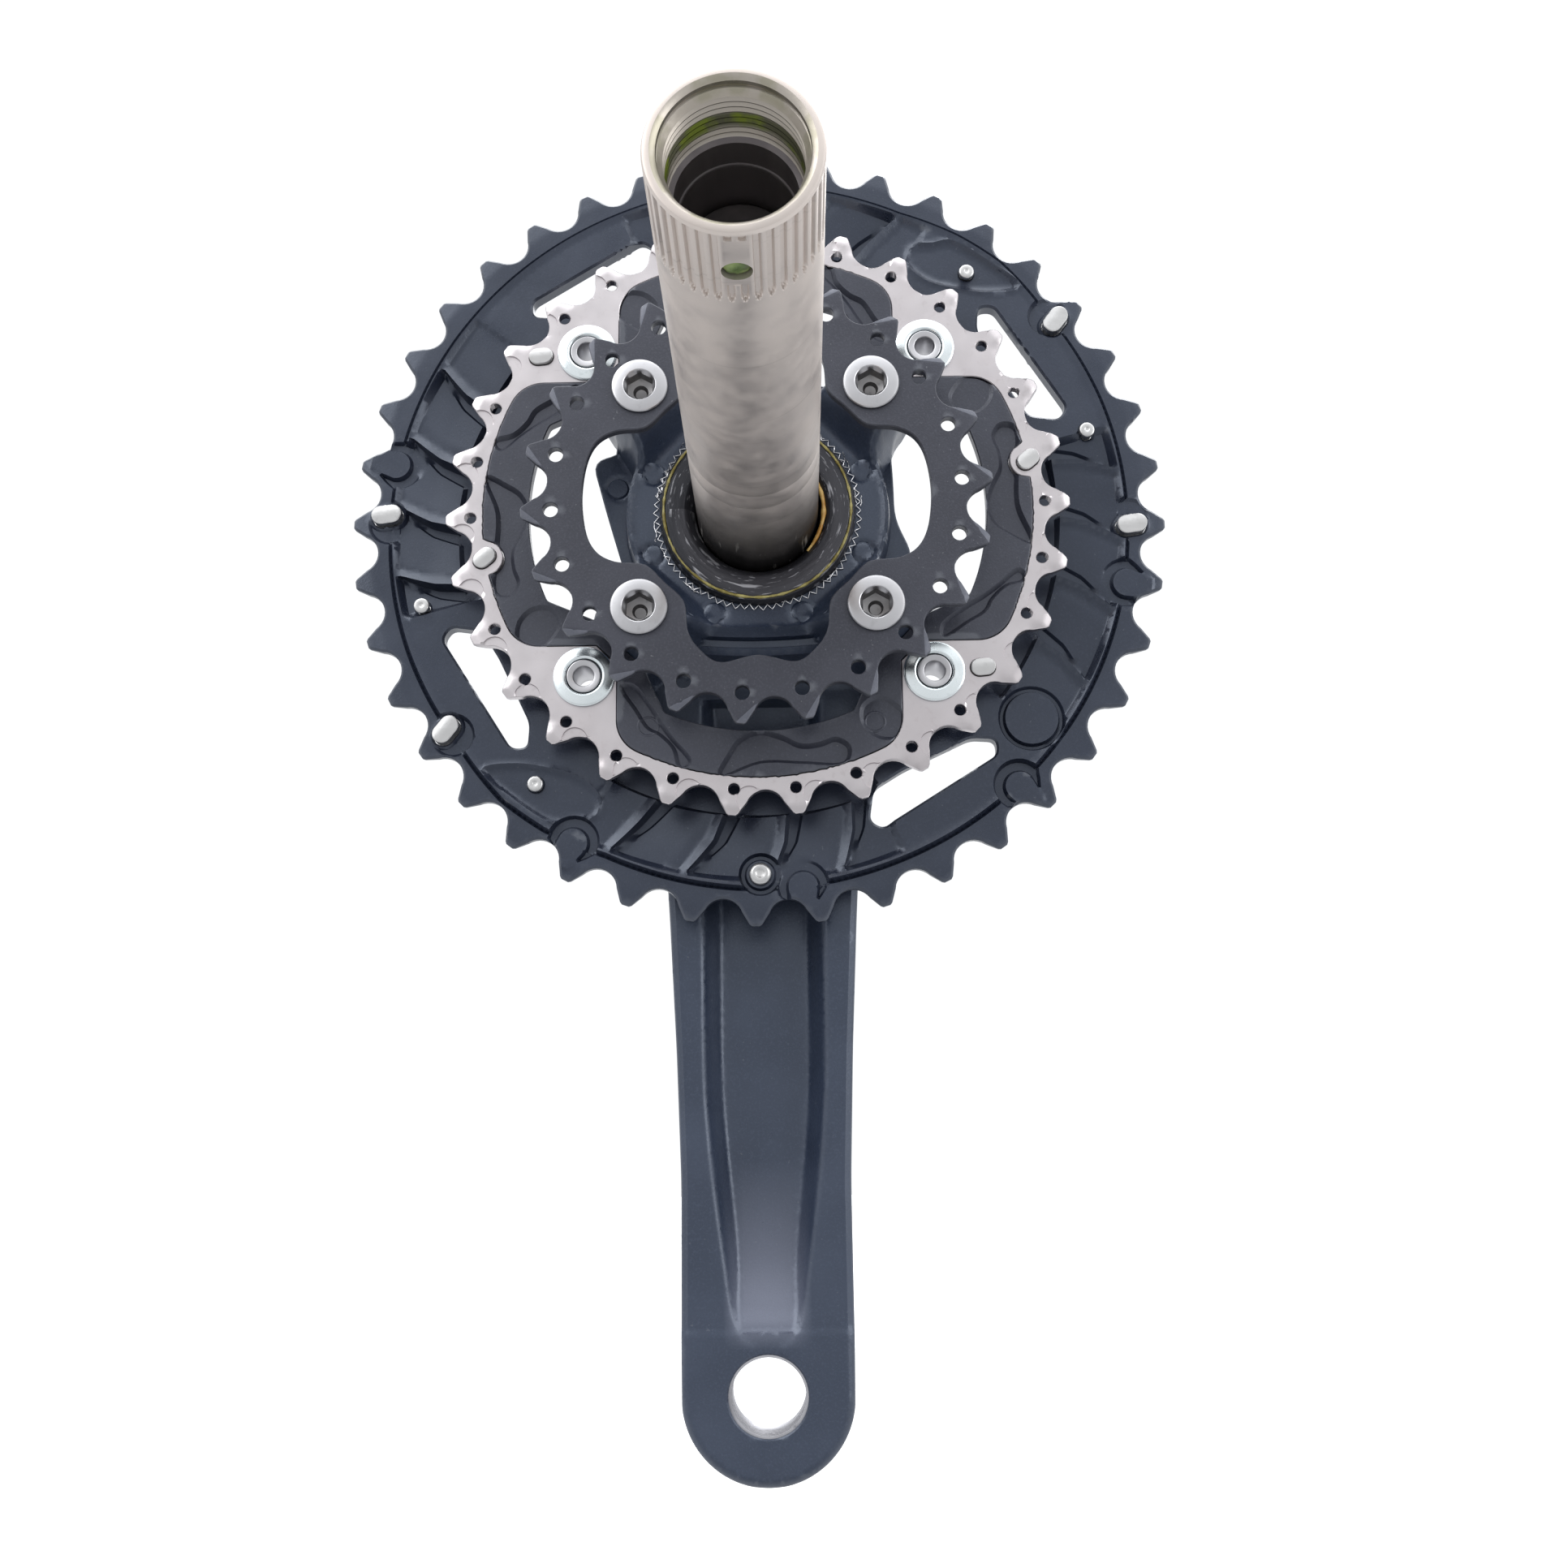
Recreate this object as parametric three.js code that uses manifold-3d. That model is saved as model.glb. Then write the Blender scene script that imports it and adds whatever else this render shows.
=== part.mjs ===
// Right-hand (drive-side) triple crankset of a mountain bike: forged arm with four-armed spider,
// hollow splined spindle, three chainrings and their hardware.
// Millimetres. The spindle lies along Y and its tip points to -Y, so +Y is the outboard side.
// The arm hangs along -Z. The origin is on the spindle axis, at the frame's centre plane.

import * as THREE from 'three';
import { mergeVertices } from 'three/addons/utils/BufferGeometryUtils.js';
import Module from 'manifold-3d';

const wasm = await Module();
wasm.setup();

// ---------------------------------------------------------------- driving dimensions

const GAP = 0.25;                 // clearance between pieces that touch
const CHAIN_PITCH = 12.7;
const ROLLER_SEAT = 3.97;         // radius of the seat that a chain roller sits in
const TOOTH_RISE = 1.1;           // tooth tip above the pitch circle
const ARM_LENGTH = 170;           // spindle axis to pedal axis

const SPINDLE_RADIUS = 12;
const SPINDLE_TIP_Y = -70.4;
const SPINDLE_END_Y = 68.5;
const SPLINE_END_Y = -53.5;
const SPLINE_COUNT = 40;
const SPLINE_DEPTH = 0.55;

const HUB_FACE_Y = 48.5;          // collar face that runs against the bearing
const PAD_Y = 51;                 // forged pad round the collar
const INNER_RING_Y = [41.5, 43.5];
const MIDDLE_RING_Y = [49.4, 51.6];
const CARRIER_Y = [49.1, 51.7];
const SPIDER_TAB_Y = [52, 55.5];
const OUTER_WEB_Y = [55.8, 59.4];
const OUTER_TEETH_Y = [56.9, 58.9];

const OUTER_BOLT_CIRCLE = 96;
const INNER_BOLT_CIRCLE = 64;
const OUTER_TEETH = { count: 40, firstTooth: 8.1 };
const MIDDLE_TEETH = { count: 30, firstTooth: 0.9 };
const INNER_TEETH = { count: 22, firstTooth: 3.8 };
const SPIDER_ANGLES = [45, 135, 225, 315];

const LOBE_RADIUS = 54.4;         // inner edge of the middle ring between its tabs
const LOBE_HALF_WIDTH = 27.6;     // half width of each carrier lobe
const PEDAL_HOLE_RADIUS = 7.15;   // 9/16 inch pedal thread
const PEDAL_EYE_RADIUS = 16.5;
const HUB_OUTER_Y = 71.5;

const SLOT_ANGLES = [32.2, 122.2, 212.2, 302.2];
const OUTER_LIFT_PIN_ANGLES = [34.8, 178, 214.4, 358.6];
const OUTER_RIVET_ANGLES = [15.4, 51, 194, 230.6];
const MIDDLE_LIFT_PIN_ANGLES = [10, 142.4, 189.8, 322.6];
const OUTER_LIFT_PIN_RADIUS = 75;
const OUTER_RIVET_RADIUS = 69.4;
const MIDDLE_LIFT_PIN_RADIUS = 54.6;

// ---------------------------------------------------------------- materials

function material(color, roughness, metalness) {
  return new THREE.MeshStandardMaterial({ color, roughness, metalness });
}

const armPaint = material(0x3b3f47, 0.5, 0.4);
const ringPaint = material(0x363a42, 0.5, 0.4);
const blackSteel = material(0x3c3d40, 0.6, 0.5);
const nickel = material(0xc9bfc0, 0.4, 0.9);
const composite = material(0x36383a, 0.7, 0);
const spindleSteel = material(0xa89e94, 0.45, 0.9);
const collarSteel = material(0x45454a, 0.5, 0.8);
const zinc = material(0xb9c4c8, 0.3, 0.95);
const satinAluminium = material(0xb8b6b6, 0.4, 0.9);
const pinSteel = material(0xc8c8ca, 0.35, 0.9);
const darkPlastic = material(0x232326, 0.7, 0);

// ---------------------------------------------------------------- helpers

function polar(radius, degrees) {
  const angle = THREE.MathUtils.degToRad(degrees);
  return new THREE.Vector2(radius * Math.cos(angle), radius * Math.sin(angle));
}

// Points along an arc about the spindle axis.
function arc(radius, fromDegrees, toDegrees, steps) {
  const points = [];
  for (let i = 0; i <= steps; i += 1) {
    points.push(polar(radius, fromDegrees + ((toDegrees - fromDegrees) * i) / steps));
  }
  return points;
}

// Points round a full circle, without repeating the first one.
function circle(centre, radius, sides) {
  const points = [];
  for (let i = 0; i < sides; i += 1) {
    points.push(polar(radius, (360 * i) / sides).add(centre));
  }
  return points;
}

function shapeWithHoles(outline, holes = []) {
  const shape = new THREE.Shape(outline);
  for (const hole of holes) {
    shape.holes.push(new THREE.Path(hole));
  }
  return shape;
}

// A plate whose outline is drawn in X and Z, filling nearY to farY.
function plate(shape, nearY, farY) {
  const geometry = new THREE.ExtrudeGeometry(shape, { depth: farY - nearY, bevelEnabled: false });
  geometry.rotateX(Math.PI / 2);
  geometry.translate(0, farY, 0);
  return geometry;
}

// A body of revolution about Y from closed [radius, y] points.
function turned(profile, sides) {
  const points = profile.map(([radius, y]) => new THREE.Vector2(radius, y));
  points.push(points[0].clone());
  return new THREE.LatheGeometry(points, sides);
}

// A cylinder along Y at (x, z).
function rod(centre, radius, nearY, farY, sides) {
  const geometry = new THREE.CylinderGeometry(radius, radius, farY - nearY, sides);
  geometry.translate(centre.x, (nearY + farY) / 2, centre.y);
  return geometry;
}

// The manifold solid of a closed geometry, with its faces pointing out.
function solid(geometry) {
  const bare = geometry.clone();
  bare.deleteAttribute('normal');
  bare.deleteAttribute('uv');
  const merged = mergeVertices(bare, 1e-4);
  const position = merged.attributes.position;
  const triangles = [];
  let volume = 0;
  for (let i = 0; i < merged.index.count; i += 3) {
    const corner = [merged.index.getX(i), merged.index.getX(i + 1), merged.index.getX(i + 2)];
    if (corner[0] !== corner[1] && corner[1] !== corner[2] && corner[2] !== corner[0]) {
      triangles.push(corner);
      const [a, b, c] = corner.map((n) => new THREE.Vector3().fromBufferAttribute(position, n));
      volume += a.dot(b.cross(c));
    }
  }
  const ordered = volume > 0 ? triangles : triangles.map(([a, b, c]) => [a, c, b]);
  return new wasm.Manifold(new wasm.Mesh({
    numProp: 3,
    vertProperties: new Float32Array(position.array),
    triVerts: new Uint32Array(ordered.flat()),
  }));
}

function geometryOf(manifold) {
  const mesh = manifold.getMesh();
  const geometry = new THREE.BufferGeometry();
  geometry.setAttribute('position', new THREE.BufferAttribute(new Float32Array(mesh.vertProperties), 3));
  geometry.setIndex(new THREE.BufferAttribute(new Uint32Array(mesh.triVerts), 1));
  geometry.computeVertexNormals();
  return geometry;
}

const group = new THREE.Group();

function addPiece(name, manifold, pieceMaterial) {
  const mesh = new THREE.Mesh(geometryOf(manifold), pieceMaterial);
  mesh.name = name;
  group.add(mesh);
}

// ---------------------------------------------------------------- chainring outlines

function pitchRadius(count) {
  return CHAIN_PITCH / (2 * Math.sin(Math.PI / count));
}

// Outline of a toothed ring: a round roller seat in each gap and a short flat tip on each tooth.
function toothedOutline({ count, firstTooth }) {
  const radius = pitchRadius(count);
  const step = 360 / count;
  const tipHalfAngle = THREE.MathUtils.radToDeg(1.1 / radius);
  const points = [];
  for (let i = 0; i < count; i += 1) {
    const tooth = firstTooth + i * step;
    points.push(polar(radius + TOOTH_RISE, tooth - tipHalfAngle));
    points.push(polar(radius + TOOTH_RISE, tooth + tipHalfAngle));
    const gap = tooth + step / 2;
    const seat = polar(radius, gap);
    for (const swing of [-60, -22, 22, 60]) {
      points.push(polar(ROLLER_SEAT, gap + 180 - swing).add(seat));
    }
  }
  return points;
}

// Edge of the carrier lobes: arcs at four sides, square corners cut away for the ring's tabs.
function lobeOutline(radius, halfWidth) {
  const corner = 4;
  const side = THREE.MathUtils.radToDeg(Math.asin(halfWidth / radius));
  const points = [];
  for (const middle of [0, 90, 180, 270]) {
    points.push(...arc(radius, middle - side, middle + side, 10));
    const turn = THREE.MathUtils.degToRad(middle);
    const inner = [new THREE.Vector2(halfWidth + corner, halfWidth),
      new THREE.Vector2(halfWidth, halfWidth + corner)];
    points.push(...inner.map((point) => point.rotateAround(new THREE.Vector2(), turn)));
  }
  return points;
}

// Opening of the carrier: wide at the four sides, narrow beside each tab.
function carrierOpening() {
  const points = [];
  for (const middle of [0, 90, 180, 270]) {
    points.push(...arc(45.2, middle - 24, middle + 24, 6));
    points.push(...arc(38.7, middle + 36, middle + 54, 3));
  }
  return points;
}

// Opening of the small ring: a lobe at each side, and a boss for each bolt between them.
function innerRingOpening() {
  const boss = [[-19, 30.4], [-13.5, 26.4], [-9, 25.2], [0, 25], [9, 25.2], [13.5, 26.4], [19, 30.4]];
  const lobe = [[25, 32.9], [33, 33.7], [45, 33.8], [57, 33.7], [65, 32.9]];
  const points = [];
  for (const middle of SPIDER_ANGLES) {
    for (const [offset, radius] of [...boss, ...lobe]) {
      points.push(polar(radius, middle + offset));
    }
  }
  return points;
}

function boltHoles(circleDiameter, radius, sides) {
  return SPIDER_ANGLES.map((angle) => circle(polar(circleDiameter / 2, angle), radius, sides));
}

function toothHoles({ count, firstTooth }, holeCircle, radius, skipAngles = []) {
  const holes = [];
  for (let i = 0; i < count; i += 1) {
    const angle = (firstTooth + (360 * i) / count) % 360;
    if (!skipAngles.some((skip) => Math.abs(angle - skip) < 6)) {
      holes.push(circle(polar(holeCircle, angle), radius, 6));
    }
  }
  return holes;
}

// ---------------------------------------------------------------- large ring

// One see-through slot of the large ring, with a straight outer edge, centred on an angle.
function slotOutline(middle) {
  const corners = [[-13.2, 65], [-11.6, 67.4], [11.2, 67.4], [13, 65], [10, 61.4], [-4, 58.8], [-10.5, 59.6]];
  return corners.map(([offset, radius]) => polar(radius, middle + offset));
}

// Rounded bar outline along the tangent at an angle, for the oblong lift pins.
function oblongOutline(radius, angle, length, width) {
  const centre = polar(radius, angle);
  const reach = length / 2 - width / 2;
  const points = [];
  for (const [end, start] of [[1, -90], [-1, 90]]) {
    for (let i = 0; i <= 6; i += 1) {
      points.push(polar(width / 2, start + 30 * i).add(new THREE.Vector2(end * reach, 0)));
    }
  }
  return points.map((point) => point.add(centre));
}

// Each large-ring pin lies level, so its length runs along X.
const outerPinOutline = (angle, grow) =>
  oblongOutline(OUTER_LIFT_PIN_RADIUS, angle, 6 + 2 * grow, 3.8 + 2 * grow);
const middlePinOutline = (angle, grow) =>
  oblongOutline(MIDDLE_LIFT_PIN_RADIUS, angle, 4.8 + 2 * grow, 3 + 2 * grow);

const outerTeethPlate = solid(plate(shapeWithHoles(toothedOutline(OUTER_TEETH)), ...OUTER_TEETH_Y));
const outerWeb = solid(plate(shapeWithHoles(circle(new THREE.Vector2(), 73.6, 60)), ...OUTER_WEB_Y));
const outerOpening = solid(plate(shapeWithHoles(lobeOutline(53, 25)), 50, 62));

let outerRing = outerTeethPlate.add(outerWeb).subtract(outerOpening);
for (const angle of SLOT_ANGLES) {
  outerRing = outerRing.subtract(solid(plate(shapeWithHoles(slotOutline(angle)), 50, 62)));
}
for (const hole of boltHoles(OUTER_BOLT_CIRCLE, 5.2, 16)) {
  outerRing = outerRing.subtract(solid(plate(shapeWithHoles(hole), 50, 62)));
}
for (const angle of OUTER_LIFT_PIN_ANGLES) {
  outerRing = outerRing.subtract(solid(plate(shapeWithHoles(outerPinOutline(angle, GAP)), 50, 62)));
}
for (const angle of OUTER_RIVET_ANGLES) {
  outerRing = outerRing.subtract(solid(rod(polar(OUTER_RIVET_RADIUS, angle), 1.2 + GAP, 50, 62, 8)));
}
const catchPinCentre = new THREE.Vector2(-0.3, -72);
outerRing = outerRing.subtract(solid(rod(catchPinCentre, 1.6 + GAP, 50, 62, 12)));
addPiece('outer_chainring', outerRing, ringPaint);

// The pins stand inboard of the ring, where they lift the chain.
OUTER_LIFT_PIN_ANGLES.forEach((angle, i) => {
  const pin = solid(plate(shapeWithHoles(outerPinOutline(angle, 0)), 54.8, OUTER_TEETH_Y[1]));
  addPiece(`outer_lift_pin_${i + 1}`, pin, pinSteel);
});

OUTER_RIVET_ANGLES.forEach((angle, i) => {
  const centre = polar(OUTER_RIVET_RADIUS, angle);
  const head = solid(rod(centre, 1.6, 54.8, OUTER_WEB_Y[0] - GAP, 8));
  const shank = solid(rod(centre, 1.2, 55, OUTER_WEB_Y[1], 8));
  addPiece(`outer_rivet_${i + 1}`, head.add(shank), pinSteel);
});

const catchHead = solid(rod(catchPinCentre, 2.2, 54.9, OUTER_WEB_Y[0] - GAP, 12));
const catchShank = solid(rod(catchPinCentre, 1.6, 55, 62.6, 12));
addPiece('chain_catch_pin', catchHead.add(catchShank), pinSteel);

// ---------------------------------------------------------------- middle ring and its carrier

const middleShape = shapeWithHoles(toothedOutline(MIDDLE_TEETH), [
  lobeOutline(LOBE_RADIUS, LOBE_HALF_WIDTH),
  ...boltHoles(OUTER_BOLT_CIRCLE, 5.2, 16),
  ...toothHoles(MIDDLE_TEETH, 56.8, 1.15, MIDDLE_LIFT_PIN_ANGLES),
]);
let middleRing = solid(plate(middleShape, ...MIDDLE_RING_Y));
let carrier = solid(plate(
  shapeWithHoles(lobeOutline(LOBE_RADIUS - GAP, LOBE_HALF_WIDTH - GAP), [carrierOpening()]),
  ...CARRIER_Y,
));
for (const angle of MIDDLE_LIFT_PIN_ANGLES) {
  const pocket = solid(plate(shapeWithHoles(middlePinOutline(angle, GAP)), 46, 54));
  middleRing = middleRing.subtract(pocket);
  carrier = carrier.subtract(pocket);
}
addPiece('middle_chainring', middleRing, nickel);
addPiece('ring_carrier', carrier, composite);

MIDDLE_LIFT_PIN_ANGLES.forEach((angle, i) => {
  const pin = solid(plate(shapeWithHoles(middlePinOutline(angle, 0)), 48.4, MIDDLE_RING_Y[1]));
  addPiece(`middle_lift_pin_${i + 1}`, pin, pinSteel);
});

// ---------------------------------------------------------------- small ring

const innerShape = shapeWithHoles(toothedOutline(INNER_TEETH), [
  innerRingOpening(),
  ...boltHoles(INNER_BOLT_CIRCLE, 4.25, 16),
  ...toothHoles(INNER_TEETH, 39.9, 1.45),
]);
addPiece('inner_chainring', solid(plate(innerShape, ...INNER_RING_Y)), blackSteel);

// ---------------------------------------------------------------- ring hardware

// Half sections as closed [radius, y] points.
const NUT_PROFILE = [
  [3.55, 48.6], [5.4, 48.4], [6, 48.9], [6, 49.2], [4.95, 49.2], [4.95, 57.4], [3.55, 57.4],
];
const HOLLOW_BOLT_PROFILE = [
  [2, 48.4], [3.3, 48.4], [3.3, 59.65], [5.6, 59.65], [5.6, 61.2], [2.5, 61.2], [2.5, 58], [2, 57.6],
];
const SOCKET_HEAD_PROFILE = [[0, 40.6], [3.4, 40.6], [5.2, 40.4], [5.6, 40.7], [5.6, 41.25], [0, 41.25]];

// A hollow turned piece standing at a bolt position.
function turnedAt(profile, sides, centre) {
  const geometry = turned(profile, sides);
  geometry.translate(centre.x, 0, centre.y);
  return solid(geometry);
}

SPIDER_ANGLES.forEach((angle, i) => {
  const centre = polar(OUTER_BOLT_CIRCLE / 2, angle);
  addPiece(`ring_nut_${i + 1}`, turnedAt(NUT_PROFILE, 16, centre), zinc);
  addPiece(`ring_bolt_${i + 1}`, turnedAt(HOLLOW_BOLT_PROFILE, 12, centre), satinAluminium);
});

SPIDER_ANGLES.forEach((angle, i) => {
  const centre = polar(INNER_BOLT_CIRCLE / 2, angle);
  const head = turnedAt(SOCKET_HEAD_PROFILE, 18, centre);
  const shank = solid(rod(centre, 3.95, 41, 52, 16));
  const socket = new THREE.CylinderGeometry(2.9, 2.9, 4.5, 6);
  socket.translate(centre.x, 42.3, centre.y);
  addPiece(`inner_bolt_${i + 1}`, head.add(shank).subtract(solid(socket)), satinAluminium);
});

// ---------------------------------------------------------------- arm and spider

// Half width of the arm at each distance below the spindle axis.
const ARM_EDGE = [
  [24.5, 4], [24.5, 18], [21.5, 36], [19.6, 60], [18.4, 80], [17.2, 105], [16.4, 130], [16.5, 160],
];

// Side profile of the arm: [y, z] down the inboard face, then up the outboard face.
const ARM_INBOARD = [
  [56.5, 30], [56.5, -26], [60, -34], [62.8, -50], [63.6, -84], [65.6, -125], [67, -154], [67, -190],
];
const ARM_OUTBOARD = [
  [81.2, -190], [81.2, -152], [79.6, -110], [76.8, -66], [74, -36], [HUB_OUTER_Y, -17], [HUB_OUTER_Y, 30],
];

// Recess along the arm's inboard face: half width at each distance below the spindle axis.
const CHANNEL_EDGE = [[9, 54], [9, 100], [8, 135], [6.6, 156]];
const CHANNEL_DEPTH = 7;

// Outline symmetrical about Z from [halfWidth, drop] pairs going down, with extra points at the bottom.
function mirroredOutline(edge, bottom = []) {
  const right = edge.map(([halfWidth, drop]) => new THREE.Vector2(halfWidth, -drop));
  const left = edge.map(([halfWidth, drop]) => new THREE.Vector2(-halfWidth, -drop));
  return [...right, ...bottom, ...left.reverse()];
}

// A prism along X whose outline is drawn in Y and Z.
function sideways(outline, halfWidth) {
  const shape = new THREE.Shape(outline.map(([y, z]) => new THREE.Vector2(y, z)));
  const geometry = new THREE.ExtrudeGeometry(shape, { depth: 2 * halfWidth, bevelEnabled: false });
  geometry.rotateX(Math.PI / 2);
  geometry.rotateZ(Math.PI / 2);
  geometry.translate(-halfWidth, 0, 0);
  return geometry;
}

// One spider arm, drawn along +X and turned to its angle.
function spiderOutline(angle, edge, endRadius) {
  const reach = edge[edge.length - 1][0];
  const upper = edge.map(([x, halfWidth]) => new THREE.Vector2(x, halfWidth));
  const lower = edge.map(([x, halfWidth]) => new THREE.Vector2(x, -halfWidth)).reverse();
  const end = [];
  for (const swing of [60, 30, 0, -30, -60]) {
    end.push(polar(endRadius, swing).add(new THREE.Vector2(reach, 0)));
  }
  const turn = THREE.MathUtils.degToRad(angle);
  return [...upper, ...end, ...lower].map((point) => point.rotateAround(new THREE.Vector2(), turn));
}

const eyeCentre = new THREE.Vector2(0, -ARM_LENGTH);
const eyeArc = [];
for (let i = 0; i <= 16; i += 1) {
  eyeArc.push(polar(PEDAL_EYE_RADIUS, -180 * (i / 16)).add(eyeCentre));
}
const armFront = solid(plate(shapeWithHoles(mirroredOutline(ARM_EDGE, eyeArc)), 50, 90));
const armSide = solid(sideways([...ARM_INBOARD, ...ARM_OUTBOARD], 40));

const channelFloor = ARM_INBOARD.map(([y, z]) => [y + CHANNEL_DEPTH, z]).reverse();
const channelFront = solid(plate(shapeWithHoles(mirroredOutline(CHANNEL_EDGE)), 50, 90));
const channelSide = solid(sideways([[50, 30], [50, -190], ...channelFloor], 40));
const channel = channelFront.intersect(channelSide);

// Web behind the hub that joins the arm to the spider arms, with a straight flank on each side.
const HUB_WEB = [[-35, 19], [-33.6, 13.6], [-26.9, -10.4], [-24.5, -24], [24.5, -24], [33, -13],
  [31.1, -7.7], [27.5, 0.4], [27.4, 8.5], [31.5, 16.3], [33, 21], [21, 30], [-21, 30]];
const hubWeb = solid(plate(shapeWithHoles(HUB_WEB.map(([x, z]) => new THREE.Vector2(x, z))), 56, 63));

const hubBody = solid(rod(new THREE.Vector2(), 25.5, 56, HUB_OUTER_Y, 36));
const pad = solid(rod(new THREE.Vector2(), 26.2, PAD_Y, 57, 36));

let arm = armFront.intersect(armSide).subtract(channel).add(hubBody).add(pad).add(hubWeb);
for (const angle of SPIDER_ANGLES) {
  const tab = spiderOutline(angle, [[18, 10.5], [32, 8.6], [48, 6.9]], 6.9);
  const root = spiderOutline(angle, [[14, 12], [30, 7.2]], 7.2);
  arm = arm.add(solid(plate(shapeWithHoles(tab), ...SPIDER_TAB_Y)));
  arm = arm.add(solid(plate(shapeWithHoles(root), SPIDER_TAB_Y[0], 62)));
  arm = arm.add(solid(rod(polar(INNER_BOLT_CIRCLE / 2, angle), 6, INNER_RING_Y[1] + GAP, 54, 18)));
}
for (const angle of SPIDER_ANGLES) {
  arm = arm.subtract(solid(rod(polar(OUTER_BOLT_CIRCLE / 2, angle), 5.2, 50, 62, 16)));
  arm = arm.subtract(solid(rod(polar(INNER_BOLT_CIRCLE / 2, angle), 3.95 + GAP, 40, 52.5, 16)));
}
const bore = solid(rod(new THREE.Vector2(), SPINDLE_RADIUS + GAP, 50, 69, 36));
const capSeat = solid(rod(new THREE.Vector2(), 15, SPINDLE_END_Y + GAP, 72, 32));
const collarSeat = solid(rod(new THREE.Vector2(), 20, 50, 53.75, 36));
const pedalHole = solid(rod(eyeCentre, PEDAL_HOLE_RADIUS, 60, 90, 32));
for (const cut of [bore, capSeat, collarSeat, pedalHole]) {
  arm = arm.subtract(cut);
}
addPiece('crank_arm', arm, armPaint);

addPiece('hub_cap', solid(rod(new THREE.Vector2(), 14.75, SPINDLE_END_Y + 2 * GAP, 71.9, 32)), darkPlastic);

// ---------------------------------------------------------------- spindle, collar and plug

// Outline of the splined tip: straight-sided ribs standing on a smaller core.
function splineOutline() {
  const points = [];
  const step = 360 / SPLINE_COUNT;
  for (let i = 0; i < SPLINE_COUNT; i += 1) {
    const rib = i * step;
    points.push(polar(SPINDLE_RADIUS, rib - 0.2 * step));
    points.push(polar(SPINDLE_RADIUS, rib + 0.2 * step));
    points.push(polar(SPINDLE_RADIUS - SPLINE_DEPTH, rib + 0.4 * step));
    points.push(polar(SPINDLE_RADIUS - SPLINE_DEPTH, rib + 0.6 * step));
  }
  return points;
}

const spindleProfile = [
  [9.4, -70.4], [11.3, -70.4], [11.3, SPLINE_END_Y], [SPINDLE_RADIUS, SPLINE_END_Y + 1],
  [SPINDLE_RADIUS, SPINDLE_END_Y], [9.4, SPINDLE_END_Y], [9.4, -36], [8.2, -37], [8.2, -54],
  [9.7, -55], [9.7, -58.8], [9.4, -59],
];
const splineRing = shapeWithHoles(splineOutline(), [circle(new THREE.Vector2(), 10.5, 16)]);
const splines = solid(plate(splineRing, SPINDLE_TIP_Y + 0.5, SPLINE_END_Y + 0.5));
const crossHole = new THREE.CylinderGeometry(2.1, 2.1, 6, 6);
crossHole.rotateX(Math.PI / 2);
crossHole.translate(0, -60.9, -10.5);
const spindle = solid(turned(spindleProfile, 32)).add(splines).subtract(solid(crossHole));
addPiece('spindle', spindle, spindleSteel);

addPiece('spindle_plug', solid(rod(new THREE.Vector2(), 8.2 - GAP, -46, -43, 20)), darkPlastic);

// The collar's rim is serrated all round, and its bore opens out towards the bearing.
function serratedOutline(count, inner, outer) {
  const points = [];
  for (let i = 0; i < count; i += 1) {
    points.push(polar(outer, (360 * i) / count), polar(inner, (360 * (i + 0.5)) / count));
  }
  return points;
}
const collarDisc = solid(plate(shapeWithHoles(serratedOutline(40, 19, 19.75)), HUB_FACE_Y, 53.5));
const COLLAR_BORE_PROFILE = [[0, 48], [14.2, 48], [13.2, 49.6], [12.25, 52.5], [12.25, 54], [0, 54]];
const collarBore = solid(turned(COLLAR_BORE_PROFILE, 32));
addPiece('press_collar', collarDisc.subtract(collarBore), collarSteel);

export default group;
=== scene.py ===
import math

import bmesh
import bpy
import numpy as np
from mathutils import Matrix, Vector, kdtree
from mathutils.geometry import delaunay_2d_cdt


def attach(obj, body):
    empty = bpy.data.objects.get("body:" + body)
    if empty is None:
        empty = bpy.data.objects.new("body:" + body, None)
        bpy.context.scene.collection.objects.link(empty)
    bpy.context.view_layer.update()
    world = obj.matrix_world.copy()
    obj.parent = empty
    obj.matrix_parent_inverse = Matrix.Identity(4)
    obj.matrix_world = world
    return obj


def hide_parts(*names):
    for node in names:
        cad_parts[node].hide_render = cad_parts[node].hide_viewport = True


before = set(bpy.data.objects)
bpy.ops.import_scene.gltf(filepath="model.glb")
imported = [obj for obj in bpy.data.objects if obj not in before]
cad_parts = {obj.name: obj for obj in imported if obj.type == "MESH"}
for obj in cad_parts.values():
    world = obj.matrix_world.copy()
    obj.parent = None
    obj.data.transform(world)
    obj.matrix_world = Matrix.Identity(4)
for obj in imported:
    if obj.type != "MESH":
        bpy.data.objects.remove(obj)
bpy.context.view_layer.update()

# Drive-side crankset: forged arm with spider, hollow spindle, three chainrings and their hardware.
# Shapes are worked out in millimetres. Y is the spindle axis, outboard is +Y, and the arm hangs along -Z.

MM = 0.001
SPIDER_ANGLES = (45, 135, 225, 315)
QUARTERS = (0, 90, 180, 270)
CORNER = 4.0                # cut between two lobes of a ring's opening
OUTER_BOLTS = 48.0          # radius of the bolt circle of the large and middle rings
INNER_BOLTS = 32.0          # radius of the bolt circle of the small ring
CHAIN_PITCH = 12.7
PEDAL_EYE = 16.5            # radius of the round end of the arm
ROLLER_SEAT = 3.97
ARM_LENGTH = 170.0

# Meshing, in millimetres or as a share of the spacing of a relief's points
TINY = 1e-9
WELD = 1e-4
ROW_SHARE = 0.866           # height of a triangle with sides of 1
CLEAR_SHARE = 0.55          # grid points keep this far from lines
EDGE_STEP = 1.6
CREASE_STEP = 1.4
HALF_SKIN = 0.03            # least distance of a face from the middle of its plate


# ---------------------------------------------------------------- plane geometry, in X and Z

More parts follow.
